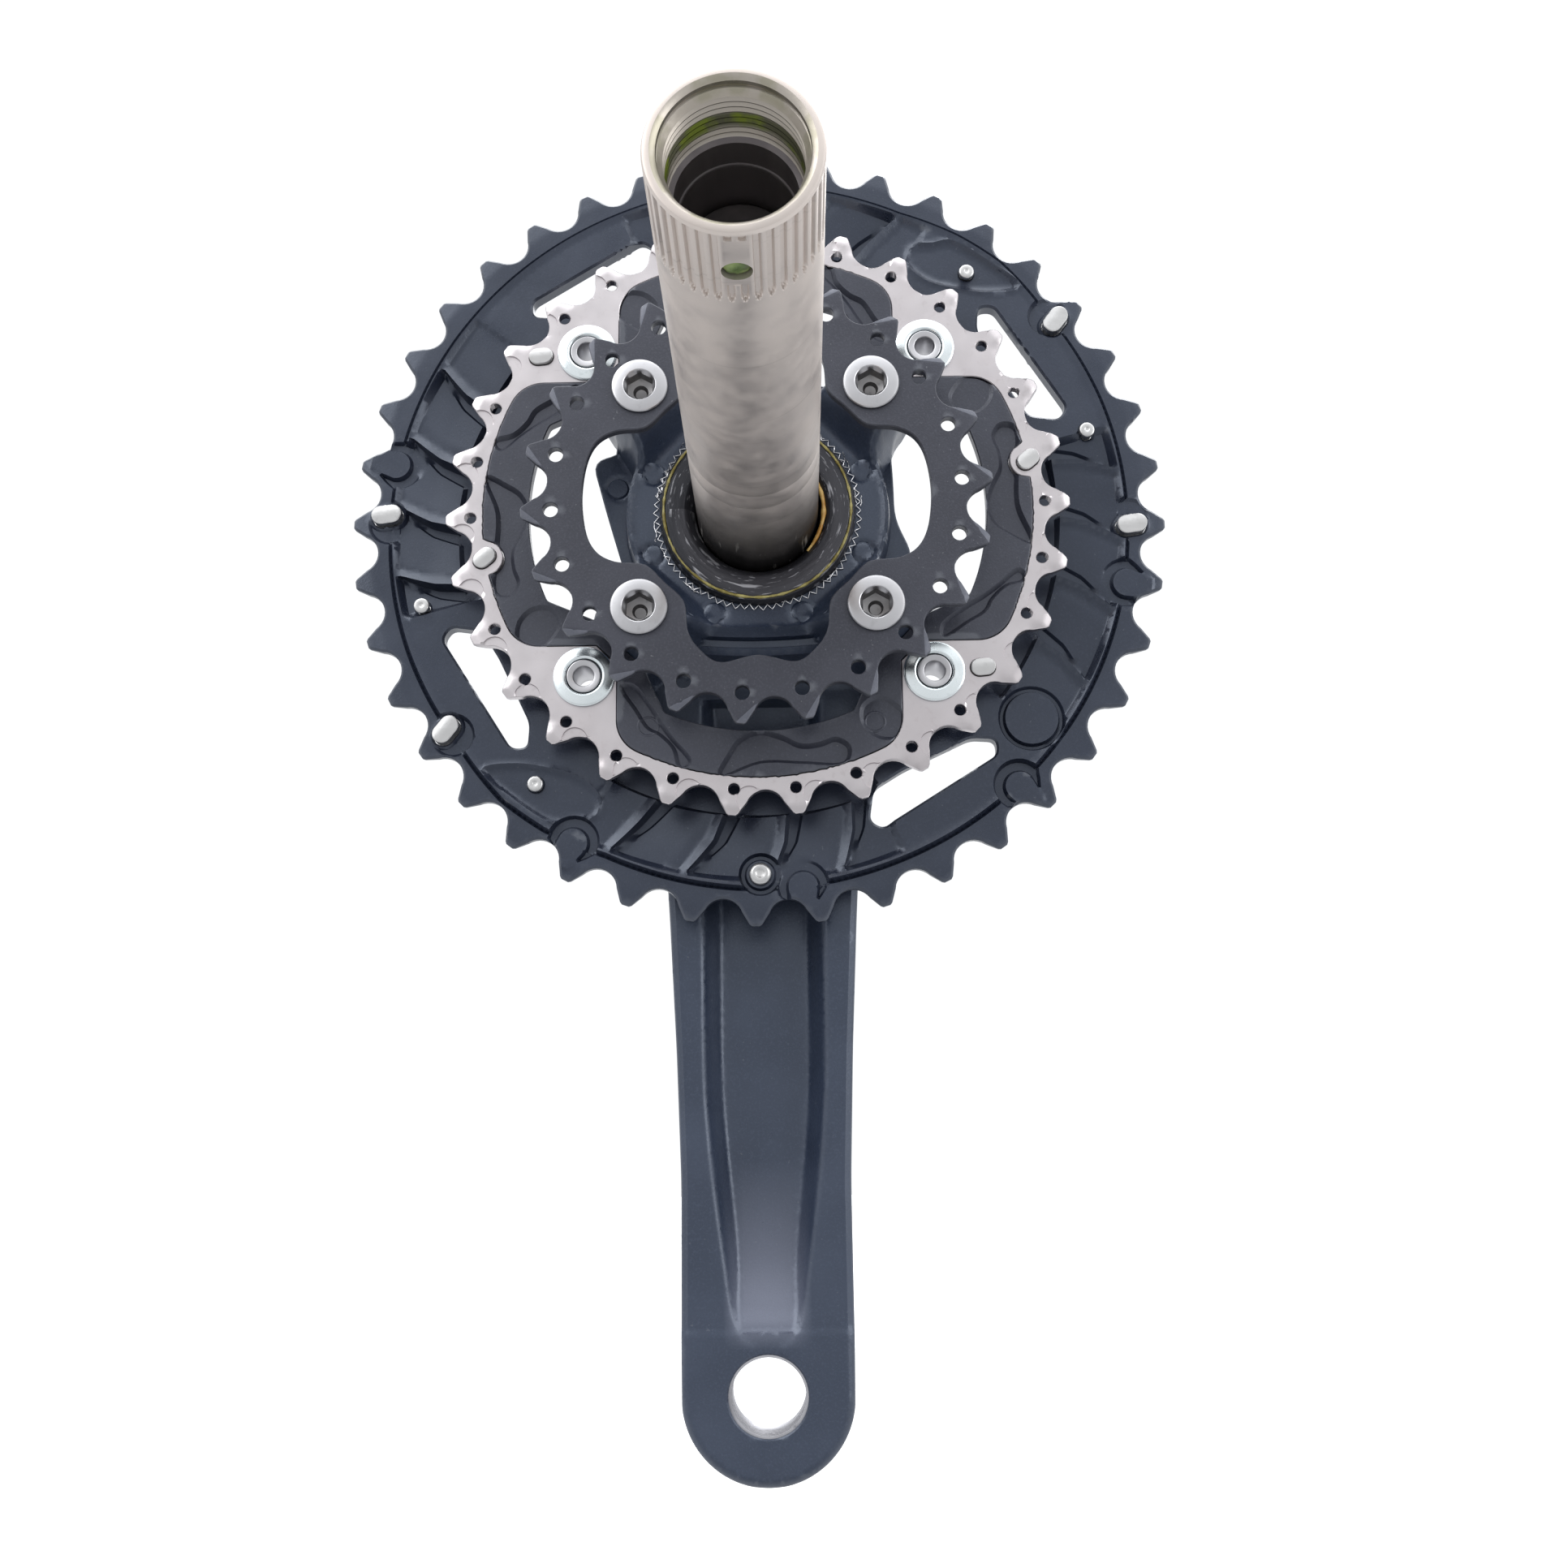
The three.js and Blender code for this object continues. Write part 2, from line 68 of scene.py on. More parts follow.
def polar(radius, degrees):
    angle = np.radians(degrees)
    return np.stack([radius * np.cos(angle), radius * np.sin(angle)], -1)


def arc(radius, start, end, steps, centre=(0, 0)):
    """Points along an arc; start and end in degrees."""
    return polar(radius, np.linspace(start, end, steps + 1)) + np.asarray(centre, float)


def circle(radius, sides, centre=(0, 0)):
    return arc(radius, 0, 360, sides, centre)[:-1]


def turn(points, degrees):
    angle = math.radians(degrees)
    c, s = math.cos(angle), math.sin(angle)
    return np.asarray(points, float) @ np.array([[c, s], [-s, c]])


def area(loop):
    nxt = np.roll(loop, -1, 0)
    return 0.5 * float(np.sum(loop[:, 0] * nxt[:, 1] - loop[:, 1] * nxt[:, 0]))


def left_normals(loop):
    """Unit normal to the left of each point of a closed path."""
    along = np.roll(loop, -1, 0) - np.roll(loop, 1, 0)
    along /= np.maximum(np.linalg.norm(along, axis=1, keepdims=True), TINY)
    return np.stack([-along[:, 1], along[:, 0]], -1)


def dense(path, step, closed=True):
    """The path with points added so that none are further apart than step."""
    path = np.asarray(path, float)
    ends = np.roll(path, -1, 0) if closed else path[1:]
    points = []
    for a, b in zip(path, ends):
        count = max(1, int(math.ceil(np.linalg.norm(b - a) / step)))
        points.append(a + (b - a) * (np.arange(count) / count)[:, None])
    if not closed:
        points.append(path[-1:])
    return np.concatenate(points)


def smooth_path(points, per_span=8, closed=False):
    """Catmull-Rom curve through the points."""
    points = np.asarray(points, float)
    count = len(points)
    t = (np.arange(per_span) / per_span)[:, None]
    out = []
    for i in range(count if closed else count - 1):
        near = [(i + k) % count if closed else min(max(i + k, 0), count - 1) for k in (-1, 0, 1, 2)]
        p0, p1, p2, p3 = points[near]
        out.append(0.5 * (2 * p1 + (p2 - p0) * t + (2 * p0 - 5 * p1 + 4 * p2 - p3) * t ** 2
                          + (3 * p1 - p0 - 3 * p2 + p3) * t ** 3))
    return np.concatenate(out if closed else [*out, points[-1:]])


def rounded(loop, radius, steps=5):
    """A closed outline with each corner rounded off."""
    loop = np.asarray(loop, float)
    out = []
    for i, corner in enumerate(loop):
        before, after = loop[i - 1], loop[(i + 1) % len(loop)]
        reach = min(radius, 0.45 * np.linalg.norm(before - corner), 0.45 * np.linalg.norm(after - corner))
        a = corner + (before - corner) / np.linalg.norm(before - corner) * reach
        b = corner + (after - corner) / np.linalg.norm(after - corner) * reach
        for t in np.linspace(0, 1, steps + 1):
            out.append((1 - t) ** 2 * a + 2 * t * (1 - t) * corner + t ** 2 * b)
    return np.array(out)


def inside(points, loops):
    """Even-odd test of points against closed loops."""
    flag = np.zeros(len(points), bool)
    for loop in loops:
        nxt = np.roll(loop, -1, 0)
        near = np.flatnonzero(((points >= loop.min(0)) & (points <= loop.max(0))).all(1))
        for part in np.array_split(near, max(1, len(near) // 3000)):
            px, pz = points[part, 0][:, None], points[part, 1][:, None]
            crosses = (loop[:, 1] > pz) != (nxt[:, 1] > pz)
            rise = np.where(nxt[:, 1] == loop[:, 1], 1e-9, nxt[:, 1] - loop[:, 1])
            at = loop[:, 0] + (pz - loop[:, 1]) * (nxt[:, 0] - loop[:, 0]) / rise
            flag[part] ^= ((crosses & (px < at)).sum(1) % 2).astype(bool)
    return flag


def shape_depth(x, z, loop):
    """Distance inside a closed outline, negative outside it."""
    best = np.full(len(x), np.inf)
    for (ax, az), (bx, bz) in zip(loop, np.roll(loop, -1, 0)):
        dx, dz = bx - ax, bz - az
        t = np.clip(((x - ax) * dx + (z - az) * dz) / max(dx * dx + dz * dz, TINY), 0, 1)
        best = np.minimum(best, np.hypot(x - ax - t * dx, z - az - t * dz))
    return np.where(inside(np.stack([x, z], -1), [loop]), best, -best)


def ramp(value, low, high):
    """0 below low, 1 above high, straight between."""
    return np.clip((value - low) / (high - low), 0, 1)


def ease(value, low, high):
    """0 below low, 1 above high, with a smooth start and end."""
    t = ramp(value, low, high)
    return t * t * (3 - 2 * t)


def toward(value, target, share):
    return value + (target - value) * share


def soft_min(a, b, blend):
    """The smaller of two values, rounded off where they meet."""
    share = np.clip(0.5 + (b - a) / (2 * blend), 0, 1)
    return b * (1 - share) + a * share - blend * share * (1 - share)


class Step:
    """An area of a relief with a sloping wall round its outline, and the height that it has or adds."""

    def __init__(self, outline, wall, level):
        outline = dense(outline, 1.0)
        self.outline = outline if area(outline) > 0 else outline[::-1]
        self.wall = wall
        self.level = level
        reach = left_normals(self.outline) * wall / 2
        self.lines = [self.outline + reach, self.outline - reach]

    def share(self, x, z):
        return ramp(shape_depth(x, z, self.outline), -self.wall / 2, self.wall / 2)


def levelled(height, steps, x, z):
    """The relief brought to each step's own height."""
    for step in steps:
        height = toward(height, step.level, step.share(x, z))
    return height


def raised(height, steps, x, z):
    """The relief with each step's height added."""
    for step in steps:
        height = height + step.level * step.share(x, z)
    return height


def walls(steps):
    """Creases at the top and the foot of each step's wall."""
    return [(line, True) for step in steps for line in step.lines]


def crease(*points):
    return np.array(points, float), False


# ---------------------------------------------------------------- meshes

def make_object(name, vertices, faces, materials, indices=None, sharp=32):
    """A mesh object from millimetre vertices, smooth except at edges sharper than an angle."""
    mesh = bpy.data.meshes.new(name)
    mesh.from_pydata((np.asarray(vertices) * MM).tolist(), [], faces)
    if indices is not None:
        mesh.polygons.foreach_set("material_index", indices)
    tidy = bmesh.new()
    tidy.from_mesh(mesh)
    bmesh.ops.remove_doubles(tidy, verts=tidy.verts, dist=1e-7)
    bmesh.ops.dissolve_degenerate(tidy, edges=tidy.edges, dist=1e-8)
    limit = math.radians(sharp)
    for edge in tidy.edges:
        edge.smooth = len(edge.link_faces) == 2 and edge.calc_face_angle(0) < limit
    for face in tidy.faces:
        face.smooth = True
    tidy.to_mesh(mesh)
    tidy.free()
    for material in materials:
        mesh.materials.append(material)
    obj = bpy.data.objects.new(name, mesh)
    bpy.context.scene.collection.objects.link(obj)
    return obj


def clipped(line, closed, plate):
    """The runs of a line that lie on the plate, each with whether it is closed."""
    kept = inside(line, plate)
    if kept.all():
        return [(line, closed)]
    gaps = np.flatnonzero(~kept)
    runs = [run[keep] for run, keep in zip(np.split(line, gaps), np.split(kept, gaps))]
    return [(run, False) for run in runs if len(run) > 1]


def triangle_grid(outlines, spacing, fixed):
    """A triangular grid of points inside the outlines, clear of the fixed points."""
    tree = kdtree.KDTree(len(fixed))
    for i, (x, z) in enumerate(fixed):
        tree.insert((x, z, 0), i)
    tree.balance()
    low, high = outlines[0].min(0), outlines[0].max(0)
    rows = np.arange(low[1], high[1], spacing * ROW_SHARE)
    gx, gz = np.meshgrid(np.arange(low[0], high[0], spacing), rows)
    gx = gx + (np.arange(len(rows)) % 2)[:, None] * spacing / 2
    grid = np.stack([gx.ravel(), gz.ravel()], -1)
    grid = grid[inside(grid, outlines)]
    return grid[[tree.find((x, z, 0))[2] > spacing * CLEAR_SHARE for x, z in grid]]


def triangulate(paths, outlines, spacing):
    """Points over the plate, how far each drops at its edge, and triangles.

    paths are (points, drop, closed).
    """
    edges, first = [], 0
    for path, _, closed in paths:
        count = len(path)
        edges += [(first + i, first + (i + 1) % count) for i in range(count if closed else count - 1)]
        first += count
    fixed = np.concatenate([path for path, _, _ in paths])
    grid = triangle_grid(outlines, spacing, fixed)
    drops = [np.full(len(path), float(drop)) for path, drop, _ in paths]
    drops = np.concatenate([*drops, np.zeros(len(grid))])
    cloud = [Vector(p) for p in np.concatenate([fixed, grid])]
    found, _, triangles, origins, _, _ = delaunay_2d_cdt(cloud, edges, [], 0, WELD)
    flat = np.array([tuple(p) for p in found])
    drop = np.array([max((drops[i] for i in group), default=0) for group in origins])
    triangles = np.array([t for t in triangles if len(t) == 3])
    triangles = triangles[inside(flat[triangles].mean(1), outlines)]
    a, b, c = flat[triangles].transpose(1, 0, 2)
    wide = (b[:, 0] - a[:, 0]) * (c[:, 1] - a[:, 1]) - (b[:, 1] - a[:, 1]) * (c[:, 0] - a[:, 0])
    triangles = np.where((wide < 0)[:, None], triangles[:, ::-1], triangles)
    used, triangles = np.unique(triangles, return_inverse=True)
    return flat[used], drop[used], triangles.reshape(-1, 3)


def relief(name, loops, front, back, materials, spacing, lines=(), bevel=0.25, paint=None, sharp=32):
    """A plate between two height fields. loops are its outline and holes, lines its creases."""
    outlines = []
    for number, loop in enumerate(loops):
        loop = dense(loop, spacing * EDGE_STEP)
        outlines.append(loop if (area(loop) > 0) == (number == 0) else loop[::-1])
    plate = [loop + left_normals(loop) * bevel for loop in outlines]
    paths = [(loop, bevel, True) for loop in outlines] + [(loop, 0, True) for loop in plate]
    for line, closed in lines:
        line = dense(line, spacing * CREASE_STEP, closed)
        paths += [(run, 0, whole) for run, whole in clipped(line, closed, plate)]
    flat, drop, triangles = triangulate(paths, outlines, spacing)
    x, z = flat.T
    near, far = front(x, z), back(x, z)
    middle = (near + far) / 2
    near = np.minimum(near + drop, middle - HALF_SKIN)
    far = np.maximum(far - drop, middle + HALF_SKIN)
    vertices = np.concatenate([np.stack([x, near, z], -1), np.stack([x, far, z], -1)])
    seen = {(i, j) for a, b, c in triangles.tolist() for i, j in ((a, b), (b, c), (c, a))}
    rim = sorted((i, j) for i, j in seen if (j, i) not in seen)
    count = len(flat)
    faces = triangles.tolist() + (triangles[:, ::-1] + count).tolist()
    faces += [(j, i, i + count, j + count) for i, j in rim]
    indices = None
    if paint is not None:
        spots = np.array([vertices[list(face)].mean(0) for face in faces])
        on_front = np.arange(len(faces)) < len(triangles)
        indices = (on_front & paint(spots)).astype(np.int32)
    return make_object(name, vertices, faces, materials, indices, sharp)


def skin(name, rows, materials, indices=None, wrap=True, sharp=32):
    """A closed surface through rows of [x, y, z] points; the last row joins the first if wrap."""
    rows = np.asarray(rows, float)
    count, width = rows.shape[:2]
    spans = count if wrap else count - 1
    faces = []
    for r in range(spans):
        low, high = r * width, (r + 1) % count * width
        for i in range(width):
            j = (i + 1) % width
            faces.append((low + i, high + i, high + j, low + j))
    kinds = None if indices is None else np.repeat(indices[:spans], width)
    return make_object(name, rows.reshape(-1, 3), faces, materials, kinds, sharp)


def ring_row(radius, y, sides, centre=(0, 0)):
    """One row of a turned surface; radius is a number or one per side."""
    angle = np.arange(sides) * 2 * math.pi / sides
    flat = np.stack([radius * np.cos(angle), radius * np.sin(angle)], -1) + np.asarray(centre, float)
    return np.stack([flat[:, 0], np.full(sides, float(y)), flat[:, 1]], -1)


def chamfered(profile, size):
    """A closed [radius, y] profile with its corners cut."""
    profile = np.asarray(profile, float)
    out = []
    for i, corner in enumerate(profile):
        for other in (profile[i - 1], profile[(i + 1) % len(profile)]):
            reach = min(size, 0.4 * np.linalg.norm(other - corner))
            if corner[0] < 1e-6 or reach < 1e-6:
                out.append(corner)
                break
            out.append(corner + (other - corner) / np.linalg.norm(other - corner) * reach)
    return np.array(out)


def turned(name, profile, sides, materials, centre=(0, 0), chamfer=0.12, sharp=32):
    """A body of revolution about Y from a closed [radius, y] profile that runs anticlockwise."""
    if chamfer:
        profile = chamfered(profile, chamfer)
    rows = [ring_row(radius, y, sides, centre) for radius, y in profile]
    return skin(name, rows, materials, sharp=sharp)


def tube(name, path, radii, sides, materials, closed=False):
    """A round wire along a 3-D path, with a radius for each point."""
    path = np.asarray(path, float)
    radii = np.broadcast_to(radii, len(path))
    along = np.roll(path, -1, 0) - np.roll(path, 1, 0) if closed else np.gradient(path, axis=0)
    along /= np.linalg.norm(along, axis=1, keepdims=True)
    side = np.cross(along, (0, 1, 0))
    side /= np.linalg.norm(side, axis=1, keepdims=True)
    up = np.cross(side, along)
    angle = np.arange(sides) * 2 * math.pi / sides
    rows = path[:, None] + radii[:, None, None] * (
        np.cos(angle)[None, :, None] * side[:, None] + np.sin(angle)[None, :, None] * up[:, None])
    if closed:
        return skin(name, rows, materials, sharp=60)
    tips = [np.repeat(path[:1], sides, 0), np.repeat(path[-1:], sides, 0)]
    return skin(name, [tips[0], *rows, tips[1]], materials, wrap=False, sharp=60)


def place(obj, slot, *nodes):
    """A finished piece: it rides on the one body and stands for the CAD nodes; slot, the name of its finish,
    is not used.
    """
    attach(obj, "root")
    if nodes:
        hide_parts(*nodes)
    return obj


# ---------------------------------------------------------------- materials

BLUE, GREY = (0.77, 0.85, 1.0), (0.86, 0.89, 1.0)       # tints of a paint's highlights
SCUFF, DUST = (0.16, 0.17, 0.19), (0.35, 0.36, 0.37)


class Nodes:
    """A node tree under construction."""

    def __init__(self, tree):
        self.tree = tree

    def node(self, kind, **settings):
        node = self.tree.nodes.new(kind)
        for key, value in settings.items():
            setattr(node, key, value)
        return node

    def link(self, source, target):
        self.tree.links.new(source, target)

    def feed(self, socket, value):
        """A number sets the socket and anything else is linked to it."""
        if isinstance(value, (int, float)):
            socket.default_value = value
        else:
            self.link(value, socket)

    def band(self, value, low, high, start=0.0, end=1.0):
        """value mapped from low..high to start..end."""
        node = self.node("ShaderNodeMapRange")
        for key, number in zip(("From Min", "From Max", "To Min", "To Max"), (low, high, start, end)):
            node.inputs[key].default_value = number
        self.link(value, node.inputs["Value"])
        return node.outputs["Result"]

    def math(self, operation, *values):
        node = self.node("ShaderNodeMath", operation=operation)
        for socket, value in zip(node.inputs, values):
            self.feed(socket, value)
        return node.outputs[0]


class Paint(Nodes):
    """A procedural material under construction. Textures use object coordinates, in metres."""

    def __init__(self, name, color, roughness, metallic=0.0):
        self.material = bpy.data.materials.new(name)
        self.material.use_nodes = True
        super().__init__(self.material.node_tree)
        self.shader = next(n for n in self.tree.nodes if n.type == "BSDF_PRINCIPLED").inputs
        self.shader["Base Color"].default_value = (*color, 1)
        self.shader["Roughness"].default_value = roughness
        self.shader["Metallic"].default_value = metallic
        self.place = self.node("ShaderNodeTexCoord").outputs["Object"]
        self.made = {}

    def noise(self, scale, detail=4.0, stretch=(1, 1, 1), shift=0.0):
        mapping = self.node("ShaderNodeMapping")
        mapping.inputs["Scale"].default_value = stretch
        mapping.inputs["Location"].default_value = (shift, shift, shift)
        noise = self.node("ShaderNodeTexNoise")
        noise.inputs["Scale"].default_value = scale
        noise.inputs["Detail"].default_value = detail
        self.link(self.place, mapping.inputs["Vector"])
        self.link(mapping.outputs["Vector"], noise.inputs["Vector"])
        return noise.outputs["Fac"]

    def axis(self, letter):
        node = self.node("ShaderNodeSeparateXYZ")
        self.link(self.place, node.inputs[0])
        return node.outputs[letter]

    def worn(self, low, high):
        """1 on convex edges, 0 on flats."""
        return self.band(self.node("ShaderNodeNewGeometry").outputs["Pointiness"], low, high)

    def tint(self, color, share):
        """Mixes a colour in by share."""
        mix = self.node("ShaderNodeMix", data_type="RGBA")
        factor, first, second = mix.inputs[0], mix.inputs[6], mix.inputs[7]
        if "Base Color" in self.made:
            self.link(self.made["Base Color"], first)
        else:
            first.default_value = self.shader["Base Color"].default_value
        second.default_value = (*color, 1)
        self.link(share, factor)
        self.made["Base Color"] = mix.outputs[2]

    def stain(self, color, noise, low, high, most=1.0):
        """Mixes a colour in, up to most, where a noise rises from low to high."""
        self.tint(color, self.band(noise, low, high, 0.0, most))

    def roughen(self, noise, least, most):
        """Lets a noise vary the roughness by least to most."""
        change = self.band(noise, 0.3, 0.7, least, most)
        base = self.made.get("Roughness", self.shader["Roughness"].default_value)
        self.made["Roughness"] = self.math("ADD", base, change)

    def bump(self, height, strength, distance):
        node = self.node("ShaderNodeBump")
        node.inputs["Strength"].default_value = strength
        node.inputs["Distance"].default_value = distance
        self.link(height, node.inputs["Height"])
        if "Normal" in self.made:
            self.link(self.made["Normal"], node.inputs["Normal"])
        self.made["Normal"] = node.outputs["Normal"]

    def done(self):
        for socket in ("Base Color", "Roughness", "Normal"):
            if socket in self.made:
                self.link(self.made[socket], self.shader[socket])
        return self.material


def painted_metal(name, color, light, roughness, grain, dust, gloss=0.85, sheen=BLUE, extra=None):
    """Satin paint over metal: fine grain, uneven sheen, lighter worn edges and specks of dust."""
    paint = Paint(name, color, roughness)
    paint.shader["Specular IOR Level"].default_value = gloss
    paint.shader["Specular Tint"].default_value = (*sheen, 1)
    paint.stain(light, paint.noise(55, 5), 0.42, 0.7, 0.5)
    paint.stain(light, paint.noise(2100, 2), 0.5, 0.75, 0.6)
    paint.tint(SCUFF, paint.math("MULTIPLY", paint.worn(0.53, 0.62), 0.35))
    paint.stain(DUST, paint.noise(1500, 1, shift=0.3), 0.74, 0.8, dust)
    if extra is not None:
        extra(paint)
    paint.roughen(paint.noise(120, 4, shift=0.1), -0.06, 0.08)
    paint.bump(paint.noise(2600, 2), 0.4, 0.00006 * grain)
    paint.bump(paint.noise(260, 3, shift=0.7), 0.15, 0.0001 * grain)
    return paint.done()


def arm_material():
    """The arm's paint, with a painted highlight on the slope at the lower end of its channel."""
    def painted_ramp_highlight(paint):
        x, y, z = (paint.axis(letter) for letter in "XYZ")
        along = paint.math("MULTIPLY", paint.band(z, -0.126, -0.152), paint.band(z, -0.1615, -0.156))
        across = paint.band(paint.math("ABSOLUTE", x), 0.0085, 0.0045)
        lit = paint.math("MULTIPLY", paint.math("MULTIPLY", along, across), paint.band(y, 0.073, 0.0725))
        # painted highlight: a pale bluish tint on the channel's end slope stands in for the light that slope
        # catches
        paint.tint((0.19, 0.2, 0.255), paint.math("MULTIPLY", lit, 0.6))

    return painted_metal("arm_paint", (0.014, 0.021, 0.04), (0.034, 0.045, 0.074), 0.33, 1.2, 0.1, 0.95,
                         extra=painted_ramp_highlight)


def bare_metal(name, color, roughness, stain, stain_share, brush=(1, 1, 1), fine=1400):
    """Plated or machined metal: fine tool marks, slight colour drift and stains."""
    paint = Paint(name, color, roughness, 1.0)
    paint.stain(stain, paint.noise(90, 5, shift=0.2), 0.5, 0.75, stain_share)
    paint.stain(stain, paint.noise(700, 3, shift=0.5), 0.6, 0.75, stain_share)
    paint.roughen(paint.noise(200, 4, brush), -0.06, 0.1)
    paint.bump(paint.noise(fine, 3, brush), 0.2, 0.00003)
    return paint.done()


def turned_metal(name, color, roughness, stain, stain_share):
    """Lathe-turned metal; its tool marks are bump only, so one material serves every fastener."""
    return bare_metal(name, color, roughness, stain, stain_share, fine=2600)


def spindle_material():
    paint = Paint("spindle_steel", (0.62, 0.56, 0.52), 0.42, 0.75)
    y = paint.axis("Y")
    blotch = paint.noise(60, 5, (1, 0.35, 1))
    paint.stain((0.52, 0.465, 0.425), blotch, 0.5, 0.75, 0.3)
    paint.stain((0.62, 0.58, 0.56), paint.noise(24, 3, (1, 0.3, 1), 0.4), 0.5, 0.7, 0.4)
    rings = paint.noise(900, 2, (0.02, 1, 0.02))
    paint.stain((0.3, 0.27, 0.24), rings, 0.6, 0.8, 0.35)
    edge = paint.math("ADD", y, paint.band(paint.noise(140, 4, shift=0.6), 0, 1, -0.004, 0.004))
    # Darkens the spindle toward the arm end, up to a wavy line.
    arm_end_darkening = paint.band(edge, 0.018, 0.046)
    paint.tint((0.05, 0.046, 0.046), paint.math("POWER", arm_end_darkening, 0.9))
    root = paint.band(edge, 0.03, 0.045)
    scrape = paint.band(paint.noise(600, 5, (1, 0.15, 1)), 0.64, 0.7)
    paint.tint((0.5, 0.48, 0.45), paint.math("MULTIPLY", root, scrape))
    paint.roughen(paint.noise(220, 4, shift=0.9), -0.08, 0.1)
    paint.bump(rings, 0.15, 0.00005)
    paint.bump(paint.noise(1500, 3), 0.12, 0.00004)
    return paint.done()


def thread_material():
    """The threaded mouth of the spindle, with old green grease lying in it."""
    paint = Paint("thread_steel", (0.5, 0.46, 0.41), 0.4, 0.85)
    y = paint.axis("Y")
    blotch = paint.band(paint.noise(170, 4, shift=0.15), 0.47, 0.56)
    inner = paint.math("MULTIPLY", paint.band(y, -0.0645, -0.0635), paint.band(y, -0.0605, -0.0615))
    mouth = paint.math("MULTIPLY", paint.band(y, -0.0672, -0.068), blotch)
    paint.tint((0.05, 0.055, 0.02), paint.math("MULTIPLY", inner, 0.9))
    paint.tint((0.16, 0.2, 0.03), paint.math("MULTIPLY", inner, blotch))
    paint.tint((0.24, 0.24, 0.12), paint.math("MULTIPLY", mouth, 0.35))
    paint.bump(paint.noise(900, 4), 0.3, 0.0001)
    return paint.done()


def bore_material():
    paint = Paint("bore_dark", (0.2, 0.18, 0.185), 0.42, 0.5)
    paint.stain((0.28, 0.255, 0.255), paint.noise(300, 3, (1, 0.1, 1)), 0.5, 0.75, 0.6)
    paint.bump(paint.noise(1200, 3, (1, 0.1, 1)), 0.2, 0.00004)
    return paint.done()


def greasy_material():
    """Dark greasy collar: scratches run round it, and bright metal shows through."""
    paint = Paint("collar_greasy", (0.02, 0.021, 0.027), 0.33, 0.4)
    angle = paint.math("ARCTAN2", paint.axis("Z"), paint.axis("X"))
    joined = paint.node("ShaderNodeCombineXYZ")
    x, z = paint.axis("X"), paint.axis("Z")
    square = paint.math("ADD", paint.math("MULTIPLY", x, x), paint.math("MULTIPLY", z, z))
    paint.link(paint.math("SQRT", square), joined.inputs["X"])
    paint.link(paint.math("MULTIPLY", angle, 0.0022), joined.inputs["Y"])
    paint.place = joined.outputs[0]
    scratch = paint.noise(900, 6, shift=0.35)
    streak = paint.noise(2300, 4, shift=0.8)
    paint.stain((0.09, 0.088, 0.1), paint.noise(90, 5), 0.5, 0.7, 0.6)
    paint.stain((0.62, 0.62, 0.66), scratch, 0.6, 0.68, 0.6)
    paint.stain((0.5, 0.5, 0.54), streak, 0.62, 0.68, 0.55)
    paint.roughen(paint.noise(300, 4), -0.1, 0.2)
    paint.bump(scratch, 0.6, 0.0003)
    return paint.done()


def grease_material(name, color, light):
    paint = Paint(name, color, 0.38)
    paint.stain(light, paint.noise(420, 5), 0.42, 0.62)
    paint.stain((0.05, 0.04, 0.02), paint.noise(260, 4, shift=0.5), 0.6, 0.7, 0.8)
    paint.roughen(paint.noise(500, 3), -0.1, 0.15)
    paint.bump(paint.noise(1100, 4), 0.5, 0.0002)
    return paint.done()


def build_materials():
    return {
        "arm": arm_material(),
        "ring": painted_metal("ring_paint", (0.009, 0.012, 0.023), (0.021, 0.026, 0.043), 0.3, 0.8, 0.1),
        "black": painted_metal("black_steel", (0.019, 0.02, 0.028), (0.045, 0.047, 0.062), 0.48, 1.6, 0.2,
                               0.7, GREY),
        "facet": painted_metal("black_steel_facet", (0.075, 0.08, 0.1), (0.11, 0.115, 0.14), 0.38, 1.0, 0.2,
                               0.8, GREY),
        "composite": painted_metal("composite", (0.014, 0.0155, 0.024), (0.033, 0.036, 0.051), 0.38, 1.3,
                                   0.15, sheen=GREY),
        "nickel": bare_metal("nickel", (0.58, 0.55, 0.565), 0.34, (0.47, 0.43, 0.44), 0.4),
        "zinc": turned_metal("zinc", (0.82, 0.88, 0.90), 0.24, (0.55, 0.62, 0.64), 0.4),
        "aluminium": turned_metal("satin_aluminium", (0.52, 0.52, 0.54), 0.33, (0.4, 0.4, 0.415), 0.4),
        "pin": bare_metal("pin_steel", (0.6, 0.6, 0.6), 0.36, (0.42, 0.42, 0.42), 0.5, (0.3, 1, 3)),
        "socket": turned_metal("socket_shadow", (0.30, 0.295, 0.30), 0.4, (0.12, 0.12, 0.125), 0.6),
        "raw": turned_metal("raw_aluminium", (0.8, 0.8, 0.82), 0.25, (0.55, 0.55, 0.56), 0.3),
        "cut": turned_metal("cut_aluminium", (0.5, 0.5, 0.53), 0.3, (0.2, 0.2, 0.22), 0.5),
        "spindle": spindle_material(),
        "thread": thread_material(),
        "bore": bore_material(),
        "collar": greasy_material(),
        "yellow": grease_material("old_grease_yellow", (0.2, 0.16, 0.035), (0.42, 0.37, 0.14)),
        "orange": grease_material("old_grease_orange", (0.4, 0.19, 0.03), (0.62, 0.42, 0.14)),
        "green": grease_material("old_grease_green", (0.08, 0.13, 0.025), (0.2, 0.27, 0.08)),
        "plastic": painted_metal("dark_plastic", (0.018, 0.018, 0.02), (0.03, 0.03, 0.033), 0.5, 1.0, 0.4),
    }


# ---------------------------------------------------------------- chainring outlines

def pitch_radius(count):
    return CHAIN_PITCH / (2 * math.sin(math.pi / count))


